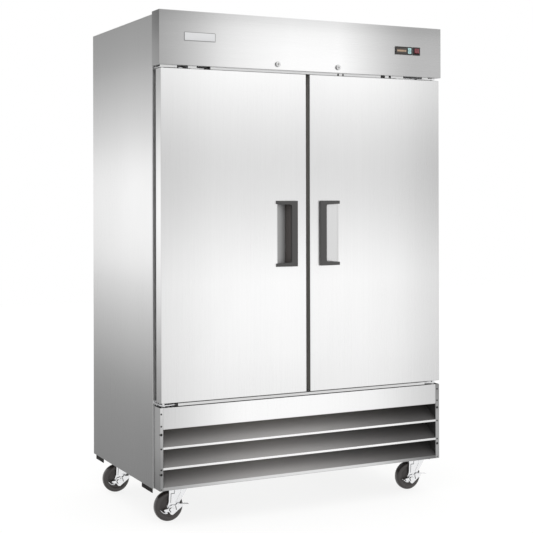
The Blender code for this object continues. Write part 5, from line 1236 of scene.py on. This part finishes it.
coil_path += [(dx + 0.010, dy_ + 0.010, dz + 0.230), (dx + 0.010, dy_ + 0.010, 0.4950)]
add_tube(bm, coil_path, 0.0014, 8)
piece("capillary_tube", bm, M_COPPER, "cabinet")
# junction box, cord and plug
bm = bmesh.new()
add_prism(bm, rrect(-0.520, -0.380, CC0.z + 0.002, CC0.z + 0.092, 0.004, 3), "Y", YB - 0.110, YB - 0.030)
piece("junction_box", bm, M_GALV, "cabinet", 0.0012, 2)
fasteners("junction_screws", [((x, YB - 0.030, z), (0, 1, 0), 0.0034) for x in (-0.510, -0.390) for z in (CC0.z + 0.012, CC0.z + 0.082)], M_ZINC, "cabinet")
bm = bmesh.new()
add_lathe(bm, [(0.0050, YB - 0.030), (0.0120, YB - 0.030), (0.0125, YB - 0.024), (0.0095, YB - 0.022), (0.0085, YB - 0.006), (0.0050, YB - 0.004)], (-0.450, CC0.z + 0.050), "Y", 28)
piece("cord_grip", bm, M_NYLON, "cabinet")
zc0 = 0.80
path = [(-0.450, YB - 0.012, CC0.z + 0.050), (-0.450, YB + 0.0045, CC0.z + 0.050), (-0.450, YB + 0.0050, 0.50), (-0.400, YB + 0.0050, zc0 - 0.10)]
for i in range(64):
    a = -math.pi / 2 + 2 * math.pi * i / 21.0
    k = 0.006 * math.sin(i * 0.7)
    path.append((-0.300 + (0.062 + k) * math.cos(a), YB + 0.0048 + 0.0012 * math.sin(i * 0.3), zc0 + (0.150 + k) * math.sin(a)))
bm = bmesh.new()
add_tube(bm, bend(path, 0.03, 3), 0.0042, 10)
piece("power_cord", bm, M_CORD, "cabinet")
e = path[-1]
bm = bmesh.new()
add_loft(bm, [(e[0] - 0.014, e[0] + 0.014, e[2] - 0.016, e[2] + 0.024, 0.008, YB + 0.0004), (e[0] - 0.016, e[0] + 0.016, e[2] - 0.018, e[2] + 0.026, 0.008, YB + 0.006), (e[0] - 0.015, e[0] + 0.015, e[2] - 0.017, e[2] + 0.025, 0.008, YB + 0.0125),
              (e[0] - 0.011, e[0] + 0.011, e[2] - 0.013, e[2] + 0.021, 0.006, YB + 0.0150)])
piece("power_plug", bm, M_CORD, "cabinet")
bm = bmesh.new()
for x in (-0.006, 0.006):
    add_box(bm, e[0] + x - 0.0008, e[0] + x + 0.0008, YB + 0.0045, YB + 0.0105, e[2] - 0.035, e[2] - 0.016)
add_tube(bm, [(e[0], YB + 0.0100, e[2] - 0.016), (e[0], YB + 0.0100, e[2] - 0.037)], 0.0024, 10)
piece("plug_pins", bm, M_BRASS, "cabinet")
bm = bmesh.new()
for x in (-0.362, -0.238):
    add_box(bm, x - 0.008, x + 0.008, YB - 0.0001, YB + 0.0112, zc0 - 0.004, zc0 + 0.004)
piece("cord_clips", bm, M_NYLON, "cabinet", 0.0012)

# ============================================================ floor and lights
bm = bmesh.new()
g = 16
for i in range(g + 1):
    for j in range(g + 1):
        bm.verts.new((-9 + 18 * i / g, -9 + 18 * j / g, 0.0))
bm.verts.ensure_lookup_table()
for i in range(g):
    for j in range(g):
        a = i * (g + 1) + j
        bm.faces.new([bm.verts[k] for k in (a, a + g + 1, a + g + 2, a + 1)])
floor = mesh("studio_floor", bm)
floor.location.z = -0.0004
FM = bpy.data.materials.new("floor_pale")
FM.use_nodes = True
t = FM.node_tree
t.nodes.clear()
out = t.nodes.new("ShaderNodeOutputMaterial")
add = t.nodes.new("ShaderNodeAddShader")
em = t.nodes.new("ShaderNodeEmission")
em.inputs["Color"].default_value = (0.835, 0.835, 0.832, 1)
df = t.nodes.new("ShaderNodeBsdfDiffuse")
tn = t.nodes.new("ShaderNodeTexNoise")
tn.inputs["Scale"].default_value = 2.0
mr = t.nodes.new("ShaderNodeMapRange")
mr.inputs["To Min"].default_value = 0.180
mr.inputs["To Max"].default_value = 0.190
t.links.new(tn.outputs["Fac"], mr.inputs["Value"])
t.links.new(mr.outputs[0], df.inputs["Color"])
t.links.new(em.outputs[0], add.inputs[0])
t.links.new(df.outputs[0], add.inputs[1])
t.links.new(add.outputs[0], out.inputs[0])
floor.data.materials.append(FM)
floor.visible_glossy = False
floor.visible_diffuse = False

world = bpy.data.worlds.new("studio")
bpy.context.scene.world = world
world.use_nodes = True
t = world.node_tree
t.nodes.clear()


def wn(kind, op=None, clamp=False, *ins):
    n_ = t.nodes.new(kind)
    if op:
        n_.operation = op
        n_.use_clamp = clamp
    for i_, v_ in enumerate(ins):
        if isinstance(v_, bpy.types.NodeSocket):
            t.links.new(v_, n_.inputs[i_])
        else:
            n_.inputs[i_].default_value = v_
    return n_.outputs[0]


tc = t.nodes.new("ShaderNodeTexCoord")
sp = t.nodes.new("ShaderNodeSeparateXYZ")
t.links.new(tc.outputs["Generated"], sp.inputs[0])
up01 = wn("ShaderNodeMath", "MULTIPLY_ADD", True, sp.outputs[2], 0.5, 0.5)
rp = t.nodes.new("ShaderNodeValToRGB")
rp.color_ramp.interpolation = "EASE"
els = rp.color_ramp.elements
for i, (p, v) in enumerate(((0.0, 0.60), (0.30, 0.88), (0.43, 1.02), (0.50, 1.0), (0.60, 1.0), (0.75, 1.05), (1.0, 1.12))):
    el = els[i] if i < 2 else els.new(p)
    el.position, el.color = p, (v, v, v, 1)
t.links.new(up01, rp.inputs[0])
cross = wn("ShaderNodeMath", "ABSOLUTE", False, wn("ShaderNodeMath", "MULTIPLY_ADD", False, sp.outputs[0], 0.902, wn("ShaderNodeMath", "MULTIPLY", False, sp.outputs[1], 0.431)))
strip = t.nodes.new("ShaderNodeMapRange")
strip.interpolation_type = "SMOOTHSTEP"
t.links.new(cross, strip.inputs["Value"])
strip.inputs["From Min"].default_value = 0.60
strip.inputs["From Max"].default_value = 1.0
strip.inputs["To Min"].default_value = 1.0
strip.inputs["To Max"].default_value = 0.80
lit = wn("ShaderNodeMath", "MULTIPLY", False, rp.outputs[0], strip.outputs[0])
lp = t.nodes.new("ShaderNodeLightPath")
inv = wn("ShaderNodeMath", "SUBTRACT", False, 1.0, lp.outputs["Is Camera Ray"])
strength = wn("ShaderNodeMath", "MULTIPLY_ADD", False, lit, inv, lp.outputs["Is Camera Ray"])
bg = t.nodes.new("ShaderNodeBackground")
bg.inputs["Color"].default_value = (1, 1, 1, 1)
t.links.new(strength, bg.inputs["Strength"])
wo = t.nodes.new("ShaderNodeOutputWorld")
t.links.new(bg.outputs[0], wo.inputs[0])

# one broad, soft overhead panel, unseen in reflections
ld = bpy.data.lights.new("overhead", "AREA")
ld.shape, ld.size, ld.size_y, ld.energy = "RECTANGLE", 3.5, 2.5, 22.0
lo_ = bpy.data.objects.new("overhead", ld)
lo_.location = (-1.2, YF - 2.2, 4.2)
lo_.rotation_euler = (Vector((0.0, 0.0, 0.6)) - lo_.location).to_track_quat("-Z", "Y").to_euler()
lo_.visible_glossy = False
COL.objects.link(lo_)

# ===================================================================== camera
cd = bpy.data.cameras.new("camera")
cam = bpy.data.objects.new("camera", cd)
COL.objects.link(cam)
cd.sensor_width, cd.sensor_fit, cd.lens = 36.0, "AUTO", 77.957
CAM_X = -2.4445
yaw, roll = math.radians(25.5165), math.radians(-0.1252)
F = Vector((math.sin(yaw), math.cos(yaw), 0.0))
r0, u0 = Vector((F.y, -F.x, 0.0)), Vector((0.0, 0.0, 1.0))
R_ = r0 * math.cos(roll) + u0 * math.sin(roll)
U_ = u0 * math.cos(roll) - r0 * math.sin(roll)
m = Matrix((R_, U_, -F)).transposed().to_4x4()
m.translation = Vector((CAM_X, YF - 4.3441, 1.3456))
cam.matrix_world = m
cd.clip_start, cd.clip_end = 0.05, 60.0
bpy.context.scene.camera = cam
# the lens shift belongs to this one viewpoint, and goes when the camera leaves it
for prop, value in (("shift_x", 0.08295), ("shift_y", -0.1337)):
    setattr(cd, prop, value)
    dr = cd.driver_add(prop).driver
    dr.type = "SCRIPTED"
    v = dr.variables.new()
    v.name = "lx"
    v.type = "TRANSFORMS"
    v.targets[0].id = cam
    v.targets[0].transform_type = "LOC_X"
    v.targets[0].transform_space = "WORLD_SPACE"
    dr.expression = "%.5f if abs(lx - (%.4f)) < 0.001 else 0.0" % (value, CAM_X)
sc = bpy.context.scene
sc.view_settings.view_transform = "Standard"
sc.view_settings.look = "None"
sc.view_settings.exposure = 0.0
sc.view_settings.gamma = 1.0

bpy.context.view_layer.update()
